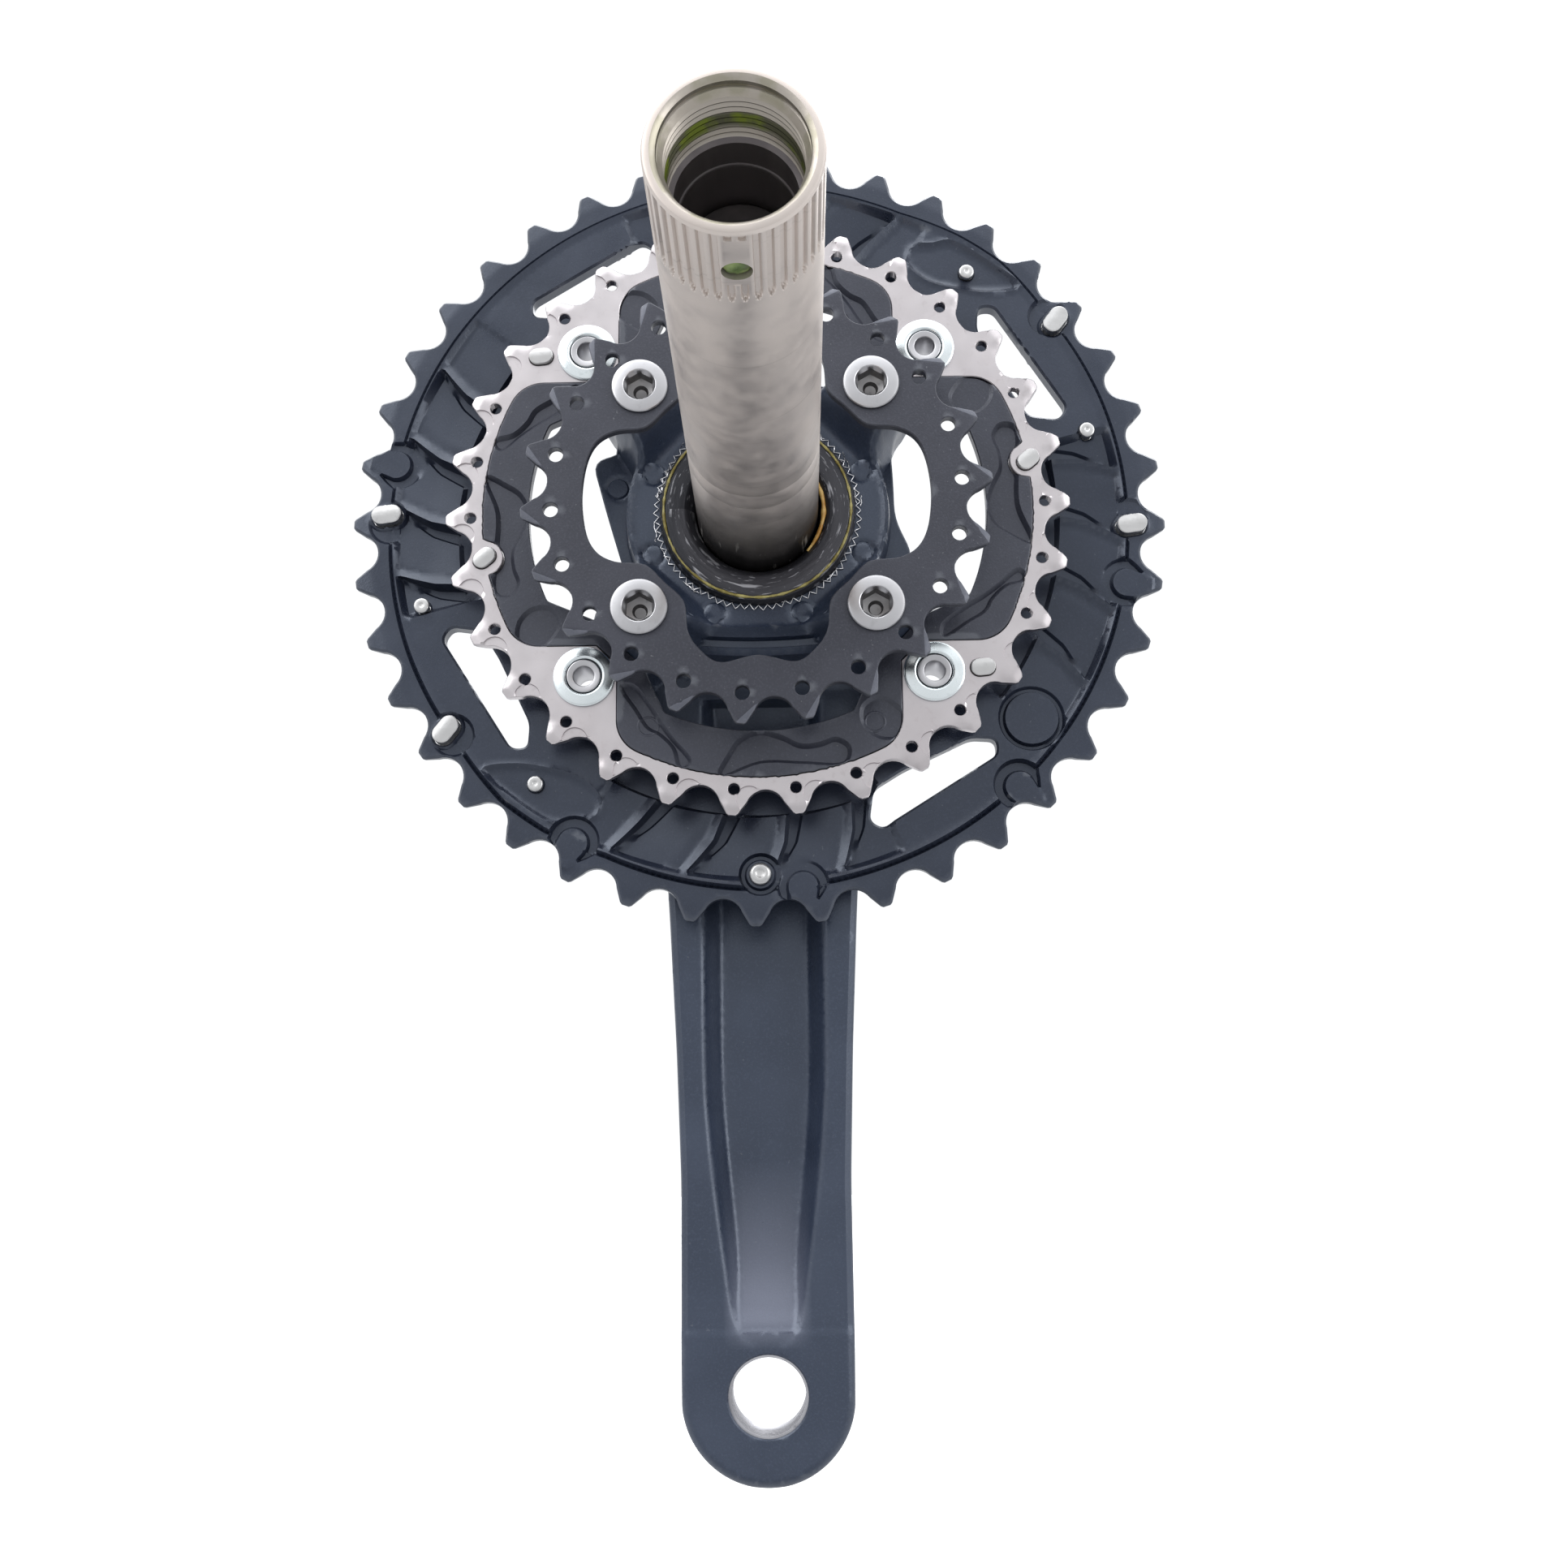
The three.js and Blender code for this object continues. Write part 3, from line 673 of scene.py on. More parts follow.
def toothed_outline(count, first, rise=1.05, tip=0.95):
    """Round roller seats with slightly hollow flanks and a small rounded tip on each tooth."""
    radius = pitch_radius(count)
    step = 360 / count
    half = math.degrees(tip / radius)
    points = []
    for i in range(count):
        tooth = first + i * step
        gap = tooth + step / 2
        seat = polar(radius, gap)
        points.append(polar(radius + rise - 0.35, tooth - half * 1.25))
        points.append(polar(radius + rise, tooth - half * 0.75))
        points.append(polar(radius + rise, tooth + half * 0.75))
        points.append(polar(radius + rise - 0.35, tooth + half * 1.25))
        for swing in np.linspace(-66, 66, 13):
            points.append(polar(ROLLER_SEAT, gap + 180 - swing) + seat)
    return np.array(points)


def tooth_angles(count, first):
    return [first + i * 360 / count for i in range(count)]


def polar_of(x, z):
    return np.hypot(x, z), np.degrees(np.arctan2(z, x)) % 360


def between(angle, low, high):
    """1 between two angles in degrees (low may be negative), with a ramp one degree wide at each end."""
    middle, half = (low + high) / 2, (high - low) / 2
    off = np.abs((angle - middle + 180) % 360 - 180)
    return ramp(-off, -half - 0.5, -half + 0.5)


def bolt_holes(radius, size, sides):
    return [circle(size, sides, polar(radius, a)) for a in SPIDER_ANGLES]


# ---------------------------------------------------------------- large chainring

OUTER_COUNT, OUTER_FIRST = 40, 8.1
OUTER_TEETH_Y = (56.9, 58.9)
OUTER_WEB_Y = (55.9, 59.4)
SLOTS = (32.2, 122.2, 212.2, 302.2)
SLOT_CORNERS = [(-13.2, 65), (-11.6, 67.4), (11.2, 67.4), (13, 65), (10, 61.4), (-4, 58.8), (-10.5, 59.6)]
OUTER_PINS = ((34.8, 52), (178.0, 8), (214.4, 52), (358.6, 8))
OUTER_RIVETS = (15.4, 51.0, 194.0, 230.6)
CATCH_PIN = (-0.3, -72.0)
LUGS = (169.4, 240.6, 276.1, 312.5, 349.4)
BOSS = (67.7, 322.0)
FAN_SPANS = ((-38, 15), (142, 195), (241, 292), (61, 112))
VANE_RADII = (60.0, 66.0, 72.5)
# Crest angle of each vane at the three radii, on half of the ring; the other half is the same turned by 180.
VANE_CRESTS = (
    (-24.6, -25.6, -28.0), (-11.6, -12.7, -15.2), (0.2, -0.9, -3.5), (11.8, 10.6, 8.2),
    (250.6, 248.7, 246.3), (263.1, 261.8, 258.5), (274.6, 273.8, 271.4), (286.9, 285.5, 282.7),
)
FLANK_DEGREES = (1.7, 1.9, 1.4)
VANE_FLOOR, VANE_CREST, GROOVE_END = 56.6, 55.65, 57.8
FAN_FOOT, FAN_RIM = (59.9, 60.7), (72.4, 73.6)
OUTER_TIP = (78.3, 82.0)    # the teeth get thinner between these radii
OUTER_PIN_RADIUS = 75
RIVET_RADIUS = 69.4
GROOVE_DEGREES = (3.3, 2.3, 0.7)
BAND_KNOTS = ((0, 20, 37, 48, 56, 66, 90, 112, 129, 146, 164, 180),
              (74.2, 74.6, 74.7, 76.0, 75.6, 74.4, 74.9, 74.6, 74.5, 74.4, 74.2, 74.2))


def slot_outline(middle):
    corners = np.array([polar(radius, middle + offset) for offset, radius in SLOT_CORNERS])
    return rounded(corners, 1.4)


def lobe_outline(radius, half_width):
    """Opening with four lobes, and a cut corner between each two."""
    side = math.degrees(math.asin(half_width / radius))
    points = []
    for middle in QUARTERS:
        points.extend(arc(radius, middle - side, middle + side, 30))
        points.extend(turn(corner_cut(half_width), middle))
    return np.array(points)


def corner_cut(half_width):
    return [(half_width + CORNER, half_width), (half_width, half_width + CORNER)]


def pill(radius, angle, length, width, tilt):
    """Oblong outline at a place on a ring, its long axis tilted from X."""
    reach = length / 2 - width / 2
    right = arc(width / 2, -90, 90, 10, (reach, 0))
    left = arc(width / 2, 90, 270, 10, (-reach, 0))
    return turn(np.concatenate([right, left]), tilt) + polar(radius, angle)


def vane_edges(radius):
    """Angles of each vane's flank foot, crest and groove end at a radius, sorted by angle."""
    flank = np.interp(radius, VANE_RADII, FLANK_DEGREES)
    groove = np.interp(radius, VANE_RADII, GROOVE_DEGREES)
    rows = []
    for crests in VANE_CRESTS:
        crest = np.interp(radius, VANE_RADII, crests)
        for spin in (0, 180):
            rows.append((crest + spin - flank, crest + spin, crest + spin + groove))
    return rows


def band_edge(angle):
    """Radius of the step between the web and the tooth band."""
    return np.interp(angle % 180, *BAND_KNOTS)


def tongue(radius, half, tail, angle):
    """Lug outline: a half round top that runs out to the tooth root."""
    top = arc(half, 90, 270, 14)
    end = [(tail * 0.5, -half * 0.95), (tail, -half * 0.7), (tail, half * 0.55), (tail * 0.5, half * 0.8)]
    return turn(np.concatenate([top, end]), angle) + polar(radius, angle)


def plateau_outline(spin):
    corners = [(74.4, 223.0), (74.2, 229.5), (73.6, 236.0), (71.0, 238.6), (68.2, 241.9), (64.6, 240.6),
               (63.4, 236.2), (65.0, 231.5), (69.0, 226.0)]
    return smooth_path([polar(r, a + spin) for r, a in corners], 5, closed=True)


def fan_creases():
    """Creases round each fan, and along the flank, crest and groove of each vane."""
    lines = []
    for low, high in FAN_SPANS:
        lines += [(arc(radius, low, high, 40), False) for radius in (*FAN_FOOT, *FAN_RIM)]
        for angle in (low - 0.5, low + 0.5, high - 0.5, high + 0.5):
            lines.append(crease(polar(58.5, angle), polar(FAN_RIM[1], angle)))
    radii = np.linspace(60.7, 73.4, 16)
    for flank, crest, groove in np.array([vane_edges(r) for r in radii]).transpose(1, 2, 0):
        for angles in (flank, crest, crest * 0.75 + groove * 0.25, groove - 0.5, groove):
            lines.append((polar(radii, angles), False))
    return lines


def fan_relief(r, a):
    """Saw-tooth floor: it climbs to each crest and drops into the groove behind it."""
    height = np.full(len(r), VANE_FLOOR)
    deep = VANE_FLOOR + 1.9 * ramp(r, 73.5, 68.0)
    for flank, crest, groove in vane_edges(r):
        off = (a - crest + 180) % 360 - 180
        before, after = flank - crest, groove - crest
        climb = toward(VANE_FLOOR, VANE_CREST, ramp(off, before, 0.0))
        fall = toward(VANE_CREST, deep, ramp(off, 0.0, after * 0.25))
        end = toward(deep, GROOVE_END, ramp(off, after - 0.5, after))
        fall = np.where(off > after - 0.5, end, fall)
        height = np.where((off > before) & (off <= 0), climb, height)
        height = np.where((off > 0) & (off <= after), fall, height)
        height = np.where((off > after) & (off < 10), GROOVE_END - 1.2 * ramp(off, after, 9.5), height)
    return height


def outer_chainring(mats):
    lug_moats = [Step(tongue(74.6, 4.9, 3.0, a), 0.5, 57.6) for a in LUGS]
    lug_tops = [Step(tongue(74.9, 3.1, 5.2, a), 0.5, 56.5) for a in LUGS]
    pin_wells = [Step(circle(4.1, 28, polar(74.5, a + 1.2)), 0.6, 57.1) for a, _ in OUTER_PINS]
    pin_seats = [Step(pill(OUTER_PIN_RADIUS, a, 7.6, 5.4, tilt), 0.5, 56.5) for a, tilt in OUTER_PINS]
    plateaus = [Step(plateau_outline(spin), 0.6, 56.5) for spin in (0, 180)]
    boss = [Step(circle(6.4, 36, polar(*BOSS)), 0.5, 57.2), Step(circle(5.4, 36, polar(*BOSS)), 0.4, 56.1)]
    catch = [Step(circle(4.0, 24, CATCH_PIN), 0.5, 57.9), Step(circle(2.9, 24, CATCH_PIN), 0.4, 56.9)]
    band_line = np.array([polar(band_edge(a), a) for a in range(360)])
    lines = walls(lug_moats + lug_tops + pin_wells + pin_seats + plateaus + boss + catch)
    lines += [(band_line * (1 + shift / 74), True) for shift in (-1.6, -0.5, 0.1, 0.5)]
    lines += fan_creases()

    def front(x, z):
        r, a = polar_of(x, z)
        fan = np.max([between(a, low, high) for low, high in FAN_SPANS], 0)
        web = toward(OUTER_WEB_Y[0], fan_relief(r, a), fan * ramp(r, *FAN_RIM[::-1]))
        web = toward(web, 58.6, ramp(r, *FAN_FOOT[::-1]) * fan)
        for step in plateaus:
            ridge = ramp(np.abs(shape_depth(x, z, step.outline) - 0.1), 0.7, 0.1)
            web = levelled(web, [step], x, z) - 0.45 * ridge
        band = r - band_edge(a)
        web = levelled(web, boss, x, z) - 0.35 * ramp(band, -1.6, -0.5)
        teeth = OUTER_TEETH_Y[0] - 0.3 * ramp(band, 0.1, 0.5) + 0.45 * ramp(r, *OUTER_TIP)
        height = np.where(band > 0.1, teeth, toward(web, teeth + 0.3, ramp(band, -0.5, 0.1)))
        for step in lug_moats + pin_wells:
            height = toward(height, np.maximum(height, step.level), step.share(x, z))
        return levelled(height, catch + pin_seats + lug_tops, x, z)

    def back(x, z):
        r = np.hypot(x, z)
        return toward(OUTER_WEB_Y[1], OUTER_TEETH_Y[1] - 0.45 * ramp(r, *OUTER_TIP), ramp(r, 73.3, 74.0))

    loops = [toothed_outline(OUTER_COUNT, OUTER_FIRST), lobe_outline(53, 25)]
    loops += [slot_outline(a) for a in SLOTS]
    loops += bolt_holes(OUTER_BOLTS, 5.2, 36)
    loops += [pill(OUTER_PIN_RADIUS, a, 6.3, 4.1, tilt) for a, tilt in OUTER_PINS]
    loops += [circle(1.35, 16, polar(RIVET_RADIUS, a)) for a in OUTER_RIVETS]
    loops += [circle(1.75, 20, CATCH_PIN)]
    ring = relief("outer_chainring_body", loops, front, back, [mats["ring"]], 0.8, lines, 0.45)
    place(ring, "ring_paint", "outer_chainring")


def lift_pin(name, node, mats, ring_radius, angle, tilt, size, ys):
    """Oblong steel pin with a flat-milled, slanted face."""
    length, width = size
    centre = polar(ring_radius, angle)
    along, across = turn([(1, 0), (0, 1)], tilt)

    def front(x, z):
        v = (x - centre[0]) * across[0] + (z - centre[1]) * across[1]
        return ys[0] + 0.2 * ramp(v, 0.15 * width, 0.5 * width) + 0.25 * ramp(v, -0.05 * width, -0.5 * width)

    middles = [centre + across * width * offset for offset in (0.15, -0.05)]
    creases = [crease(middle - along * length, middle + along * length) for middle in middles]
    pin = relief(name, [pill(ring_radius, angle, length, width, tilt)], front,
                 lambda x, z: np.full(len(x), ys[1]), [mats["pin"]], 0.5, creases, 0.16, sharp=18)
    place(pin, "pin_steel", node)


def ring_pins(mats):
    for ring, pins, radius, size, ys in (
            ("outer", OUTER_PINS, OUTER_PIN_RADIUS, (6, 3.8), (54.8, 58.85)),
            ("middle", MIDDLE_PINS, MIDDLE_PIN_RADIUS, (4.8, 3.4), (48.5, 51.5))):
        for i, (angle, tilt) in enumerate(pins, 1):
            lift_pin(f"{ring}_pin_{i}", f"{ring}_lift_pin_{i}", mats, radius, angle, tilt, size, ys)
    rivet = [(0, 55.12), (0.4, 55.12), (0.5, 55.02), (1.25, 55.05), (1.5, 55.2), (1.6, 55.5), (1.6, 55.85),
             (1.2, 55.85), (1.2, 59.35), (0, 59.35)]
    for i, angle in enumerate(OUTER_RIVETS, 1):
        head = turned(f"outer_rivet_{i}_head", rivet, 24, [mats["pin"]], polar(RIVET_RADIUS, angle), 0.06)
        place(head, "pin_steel", f"outer_rivet_{i}")
    pin = [(0, 55.2), (0.75, 55.2), (0.9, 54.95), (1.55, 54.95), (1.95, 55.3), (2.15, 55.6), (2.15, 56.4),
           (1.6, 56.6), (1.6, 62.2), (1.3, 62.55), (0, 62.55)]
    place(turned("chain_catch_pin_turned", pin, 28, [mats["pin"]], CATCH_PIN, 0.08), "pin_steel",
          "chain_catch_pin")


# ---------------------------------------------------------------- middle chainring and carrier

MIDDLE_COUNT, MIDDLE_FIRST = 30, 0.9
MIDDLE_Y = (49.4, 51.6)
MIDDLE_PINS = ((10.0, 40), (142.4, 5), (189.8, 40), (322.6, 5))
MIDDLE_PIN_RADIUS = 54.6
LOBE_RADIUS, LOBE_HALF = 54.4, 27.6
BULGE = 3.6                 # radius of the seam's bulge round a pin


def lobe_edge(random):
    """Seam between ring and carrier: four lobes with wide fillets, bulging inward round two pins."""
    fillet = 7.0
    side = LOBE_HALF - fillet
    reach = math.sqrt((LOBE_RADIUS - fillet) ** 2 - side ** 2)
    swing = math.degrees(math.asin(side / (LOBE_RADIUS - fillet)))
    points = []
    for middle in QUARTERS:
        lobe = [*arc(fillet, -90, -swing, 10, (reach, -side)), *arc(LOBE_RADIUS, 1 - swing, swing - 1, 40),
                *arc(fillet, swing, 90, 10, (reach, side)), *corner_cut(LOBE_HALF)]
        points.extend(turn(lobe, middle))
    loop = dense(points, 0.8)
    r, a = polar_of(*loop.T)
    rough = random.normal(0, 0.06, len(loop)) * ((a % 90 < 20) | (a % 90 > 66))
    loop = loop * (1 + rough / np.maximum(r, 1))[:, None]
    for angle, _ in MIDDLE_PINS[::2]:
        centre = polar(MIDDLE_PIN_RADIUS, angle)
        gap = loop - centre
        close = np.linalg.norm(gap, axis=1) < BULGE
        inward = -centre / np.linalg.norm(centre)
        side = gap - (gap @ inward)[:, None] * inward
        depth = np.sqrt(np.maximum(BULGE ** 2 - np.sum(side ** 2, 1), 0))
        loop[close] = (centre + side + inward * depth[:, None])[close]
    return loop


def middle_chainring(mats, seam):
    radius = pitch_radius(MIDDLE_COUNT)
    teeth = tooth_angles(MIDDLE_COUNT, MIDDLE_FIRST)
    pockets = [Step(circle(2.5, 20, polar(58.6, tooth + (3.0, 3.6)[i % 2])), 0.12, 0.35)
               for i, tooth in enumerate(teeth)]
    lines = walls(pockets)
    for i, tooth in enumerate(teeth):
        lean = (2.6, 3.4, 2.0)[i % 3]
        lines.append(crease(polar(57.6, tooth - 1.2), polar(radius + 1.6, tooth - lean)))

    def front(x, z):
        r, a = polar_of(x, z)
        height = raised(np.full(len(x), MIDDLE_Y[0]), pockets, x, z)
        nearest = (a - MIDDLE_FIRST + 6) % 12 - 6
        height = height + 0.7 * ramp(nearest, -0.9, -2.9) * ramp(r, 57.6, 60.0)
        return height + 0.55 * ramp(r, radius - 0.6, radius + 1.1)

    def back(x, z):
        return MIDDLE_Y[1] - 0.5 * ramp(np.hypot(x, z), radius - 0.6, radius + 1.1)

    loops = [toothed_outline(MIDDLE_COUNT, MIDDLE_FIRST, 1.1, 0.9), seam]
    loops += bolt_holes(OUTER_BOLTS, 5.2, 36)
    loops += [pill(MIDDLE_PIN_RADIUS, a, 5.0, 3.6, tilt) for a, tilt in MIDDLE_PINS]
    for tooth in teeth:
        if all(abs((tooth - a + 180) % 360 - 180) > 6 for a, _ in MIDDLE_PINS):
            loops.append(circle(1.15, 16, polar(56.8, tooth)))
    ring = relief("middle_chainring_body", loops, front, back, [mats["nickel"]], 0.7, lines, 0.15, sharp=20)
    place(ring, "nickel", "middle_chainring")


CARRIER_Y = (49.15, 51.7)
# Relief of the bottom lobe as radius and angle; the other lobes repeat it.
CARRIER_HILL = ((54.6, 262), (50.0, 263.4), (46.9, 265.7), (45.5, 270.1), (46.8, 275.2), (48.9, 279.2),
                (49.4, 283.4), (49.3, 287.3), (51.7, 289.4), (54.2, 287), (52.2, 279), (51.4, 270))
CARRIER_STEP = ((45.0, 233.5), (47.2, 239.6), (49.2, 243.8), (49.6, 247.4), (51.3, 251.2), (54.6, 253.6),
                (52.6, 255.2), (49.8, 250.6), (47.6, 246.6), (45.2, 242.0), (43.4, 236.0))
CARRIER_TAIL = ((45.4, 296), (48.8, 294.4), (52.4, 296.4), (54.2, 301), (51.2, 303.4), (47.4, 302.6),
                (45.0, 300.4))


def carrier_opening():
    points = []
    for middle in QUARTERS:
        points.extend(arc(45.2, middle - 24, middle + 24, 30))
        points.extend(arc(38.7, middle + 36, middle + 54, 10))
    return rounded(np.array(points), 2.5, 3)


def ring_carrier(mats, seam):
    loop = seam - seam / np.linalg.norm(seam, axis=1, keepdims=True) * 0.12
    steps = []
    for middle in QUARTERS:
        for path, rise in ((CARRIER_HILL, 1.15), (CARRIER_STEP, 0.85), (CARRIER_TAIL, 0.7)):
            outline = smooth_path([polar(r, middle - 270 + a) for r, a in path], 6, closed=True)
            steps.append(Step(outline, 0.8, rise))
    for size, rise in ((2.1, -0.12), (1.75, 0.12)):
        steps += [Step(circle(size, 24, polar(49, a)), 0.15, rise) for a in (244, 297)]
    pins = [pill(MIDDLE_PIN_RADIUS, a, 5.2, 3.8, tilt) for a, tilt in MIDDLE_PINS]
    loops = [loop, carrier_opening()] + [pin for pin in pins if inside(pin, [loop]).all()]
    carrier = relief("ring_carrier_moulded", loops,
                     lambda x, z: raised(np.full(len(x), CARRIER_Y[0]), steps, x, z),
                     lambda x, z: np.full(len(x), CARRIER_Y[1]), [mats["composite"]], 0.8, walls(steps), 0.2)
    place(carrier, "composite", "ring_carrier")


# ---------------------------------------------------------------- small chainring

INNER_COUNT, INNER_FIRST = 22, 3.8
INNER_Y = (41.5, 43.5)


def inner_opening():
    boss = [(-19, 30.4), (-13.5, 26.4), (-9, 25.2), (0, 25), (9, 25.2), (13.5, 26.4), (19, 30.4)]
    lobe = [(25, 32.9), (33, 33.7), (45, 33.8), (57, 33.7), (65, 32.9)]
    points = []
    for middle in SPIDER_ANGLES:
        for offset, radius in boss + lobe:
            dip = 1.4 if middle + offset == 270 else 0
            rise = 0.8 if middle + offset in (258, 282) else 0
            points.append(polar(radius - dip + rise, middle + offset))
    return smooth_path(points, 7, closed=True)


def inner_chainring(mats):
    radius = pitch_radius(INNER_COUNT)
    root = radius - 2.6
    teeth = tooth_angles(INNER_COUNT, INNER_FIRST)
    lines = [(circle(root, 180), True)]
    lines += [crease(polar(root, tooth + 3.8), polar(radius + 1.4, tooth - 1.3)) for tooth in teeth]

    def from_tooth(a):
        step = 360 / INNER_COUNT
        return (a - INNER_FIRST + step / 2) % step - step / 2

    def front(x, z):
        r, a = polar_of(x, z)
        along = from_tooth(a) * math.pi / 180 * r
        flank = ramp(along * 0.8 + (r - radius) * 0.9, 0.2, 3.2)
        return INNER_Y[0] + 0.9 * flank * ramp(r, root, root + 1)

    def back(x, z):
        return INNER_Y[1] - 0.4 * ramp(np.hypot(x, z), radius - 0.6, radius + 1.1)

    def paint(spots):
        """The facet of each tooth, which is bevelled to bare grey."""
        r, a = polar_of(spots[:, 0], spots[:, 2])
        return (r > radius - 2.4) & (from_tooth(a) > 3.8 - 5.1 * (r - root) / 4.0)

    loops = [toothed_outline(INNER_COUNT, INNER_FIRST, 1.2, 0.9), inner_opening()]
    loops += bolt_holes(INNER_BOLTS, 4.25, 30)
    loops += [circle(1.45, 20, polar(39.9, tooth)) for tooth in teeth]
    ring = relief("inner_chainring_body", loops, front, back, [mats["black"], mats["facet"]], 0.8, lines,
                  0.2, paint, sharp=20)
    place(ring, "black_steel", "inner_chainring")


# ---------------------------------------------------------------- fasteners

def hex_radius(apothem, sides):
    angle = np.arange(sides) * 360 / sides
    return apothem / np.cos(np.radians((angle + 30) % 60 - 30))


def socket_bolt(name, centre, mats):
    """A flat-headed bolt with a hexagonal socket, as one closed skin."""
    sides = 60
    hexagon = hex_radius(2.55, sides)
    rows = [(0.0, 45.4), (1.1, 45.2), (1.5, 44.2), (1.9, 44.1), (2.3, 44.0), (hexagon, 43.9),
            (hexagon, 41.35), (3.05, 40.75), (3.15, 40.58), (3.3, 40.48), (4.9, 40.62), (5.35, 40.78),
            (5.5, 41.0), (5.5, 41.25), (3.95, 41.3), (3.95, 51.9), (0.0, 51.9)]
    kinds = [1] * 6 + [0] * (len(rows) - 7)     # the first six spans are inside the socket
    rows = [ring_row(radius, y, sides, centre) for radius, y in rows]
    return skin(name, rows, [mats["aluminium"], mats["socket"]], kinds, wrap=False, sharp=24)


def fasteners(mats):
    nut = [(3.5, 48.75), (3.75, 48.5), (4.0, 48.42), (4.3, 48.5), (5.6, 48.72), (5.9, 48.86), (6.0, 49.05),
           (5.95, 49.3), (4.95, 49.35), (4.95, 57.35), (3.5, 57.35)]
    bolt = [(2.0, 48.75), (2.15, 48.6), (3.2, 48.55), (3.32, 48.7), (3.32, 59.65), (5.5, 59.65), (5.6, 59.9),
            (5.45, 60.9), (5.0, 61.18), (3.0, 61.18), (2.7, 60.9), (2.7, 58.4), (2.0, 57.9)]
    for i, angle in enumerate(SPIDER_ANGLES, 1):
        centre = polar(OUTER_BOLTS, angle)
        piece = turned(f"ring_nut_{i}_flanged", nut, 56, [mats["zinc"]], centre, 0.07, sharp=24)
        place(piece, "zinc", f"ring_nut_{i}")
        piece = turned(f"ring_bolt_{i}_hollow", bolt, 48, [mats["aluminium"]], centre, 0.07, sharp=24)
        place(piece, "satin_aluminium", f"ring_bolt_{i}")
        piece = socket_bolt(f"inner_bolt_{i}_socket", polar(INNER_BOLTS, angle), mats)
        place(piece, "satin_aluminium", f"inner_bolt_{i}")


# ---------------------------------------------------------------- spindle, collar, grease

SPLINES = 40
SPINDLE, LAND = 12, 11.86   # radius of the spindle, and of the flat land across it
TIP_Y = -70.4
CROSS_HOLE_Y = -60.9
SERRATIONS = 70             # on the rim of the collar


def spline_radius(y, angle):
    """Outer radius of the spindle at a height: splines near the tip, with one flat land below."""
    pitch = 360 / SPLINES
    off_rib = np.abs((angle + pitch / 2) % pitch - pitch / 2)
    from_groove = np.abs(off_rib - pitch / 2) * math.pi / 180 * SPINDLE
    width = 0.42 * np.clip((-53.0 - y) / 1.8, 0, 1)
    groove = np.clip((width - from_groove) / 0.16 + 1, 0, 1) * (width > 0.01)
    radius = SPINDLE - 0.5 * groove * np.clip((y + 69.6) / 0.5, 0, 1)
    if -68.3 < y < -57.4:
        off_land = np.abs((angle - 270 + 180) % 360 - 180)
        flat = LAND / np.cos(np.radians(off_land))
        radius = np.where(off_land < 7.4, np.maximum(np.minimum(flat, SPINDLE), LAND), radius)
    return radius


def spindle_profile(angle):
    """(radius, y, material) down the outside, up the bore and through the thread to the tip."""
    outside, thread, bore = 0, 1, 2
    rows = [(11.45, TIP_Y, outside), (11.8, TIP_Y + 0.15, outside), (11.97, TIP_Y + 0.45, outside)]
    for y in (-69.6, -69.4, -69.1, -68.7, -68.35, -68.25, -66, -64, -62, -60, -58, -57.45, -57.35, -56, -55,
              -54.6, -54.2, -53.9, -53.6, -53.3, -53.0, -52.9, -40, -20, 0, 14.3, 14.5, 14.7, 14.9, 20.0,
              20.2, 20.4, 20.6, 35, 47, 48.6, 60, 68.3):
        ring_groove = 0.05 if y in (14.5, 14.7, 20.2, 20.4) else 0
        rows.append((spline_radius(y, angle) - ring_groove, y, outside))
    rows.append((11.8, 68.5, outside))
    rows += [(radius, y, bore) for radius, y in ((9.4, 68.5), (9.4, -36), (8.2, -37), (8.2, -53.8),
                                                 (8.3, -54.0), (8.55, -54.05), (8.6, -58.6))]
    y = -58.9
    while y > -67.6:
        ridge = ((9.35, 0), (9.75, 0.4), (9.75, 0.55), (9.35, 0.95))
        rows += [(radius, y - down, thread) for radius, down in ridge]
        y -= 1.1
    rows += [(radius, y, thread) for radius, y in ((10.05, -68.5), (10.35, -68.6), (10.35, -69.1),
                                                   (10.05, -69.3), (10.15, -69.8), (10.5, -70.2))]
    return [*rows, (10.9, TIP_Y, outside)]


def cut_cross_hole(body):
    """The small hole across the tip, cut from the tube with a boolean."""
    bpy.ops.mesh.primitive_cylinder_add(vertices=40, radius=2.15 * MM, depth=7 * MM,
                                        location=(0, CROSS_HOLE_Y * MM, -11 * MM))
    cutter = bpy.context.object
    cut = body.modifiers.new("cross_hole", "BOOLEAN")
    cut.object = cutter
    cut.solver = "EXACT"
    bpy.context.view_layer.update()
    shaped = bpy.data.meshes.new_from_object(body.evaluated_get(bpy.context.evaluated_depsgraph_get()))
    body.modifiers.clear()
    body.data = shaped
    bpy.data.objects.remove(cutter)


def spindle(mats):
    sides = SPLINES * 10
    profile = spindle_profile(np.arange(sides) * 360 / sides)
    rows = [ring_row(radius, y, sides)[::-1] for radius, y, _ in profile]
    body = skin("spindle_tube", rows, [mats["spindle"], mats["thread"], mats["bore"]],
                [kind for _, _, kind in profile], sharp=25)
    cut_cross_hole(body)
    place(body, "spindle_steel", "spindle")
    disc = [(0, -45.8), (4.5, -45.8), (5.2, -45.2), (7.6, -45.2), (7.95, -44.8), (7.95, -43.2), (0, -43.2)]
    place(turned("spindle_plug_disc", disc, 40, [mats["bore"]]), "dark_plastic", "spindle_plug")


def upright(radius, degrees, y):
    """Points in 3-D from a radius, an angle and a height along the spindle."""
    flat = polar(radius, degrees)
    return np.stack([flat[:, 0], np.broadcast_to(y, len(flat)), flat[:, 1]], -1)


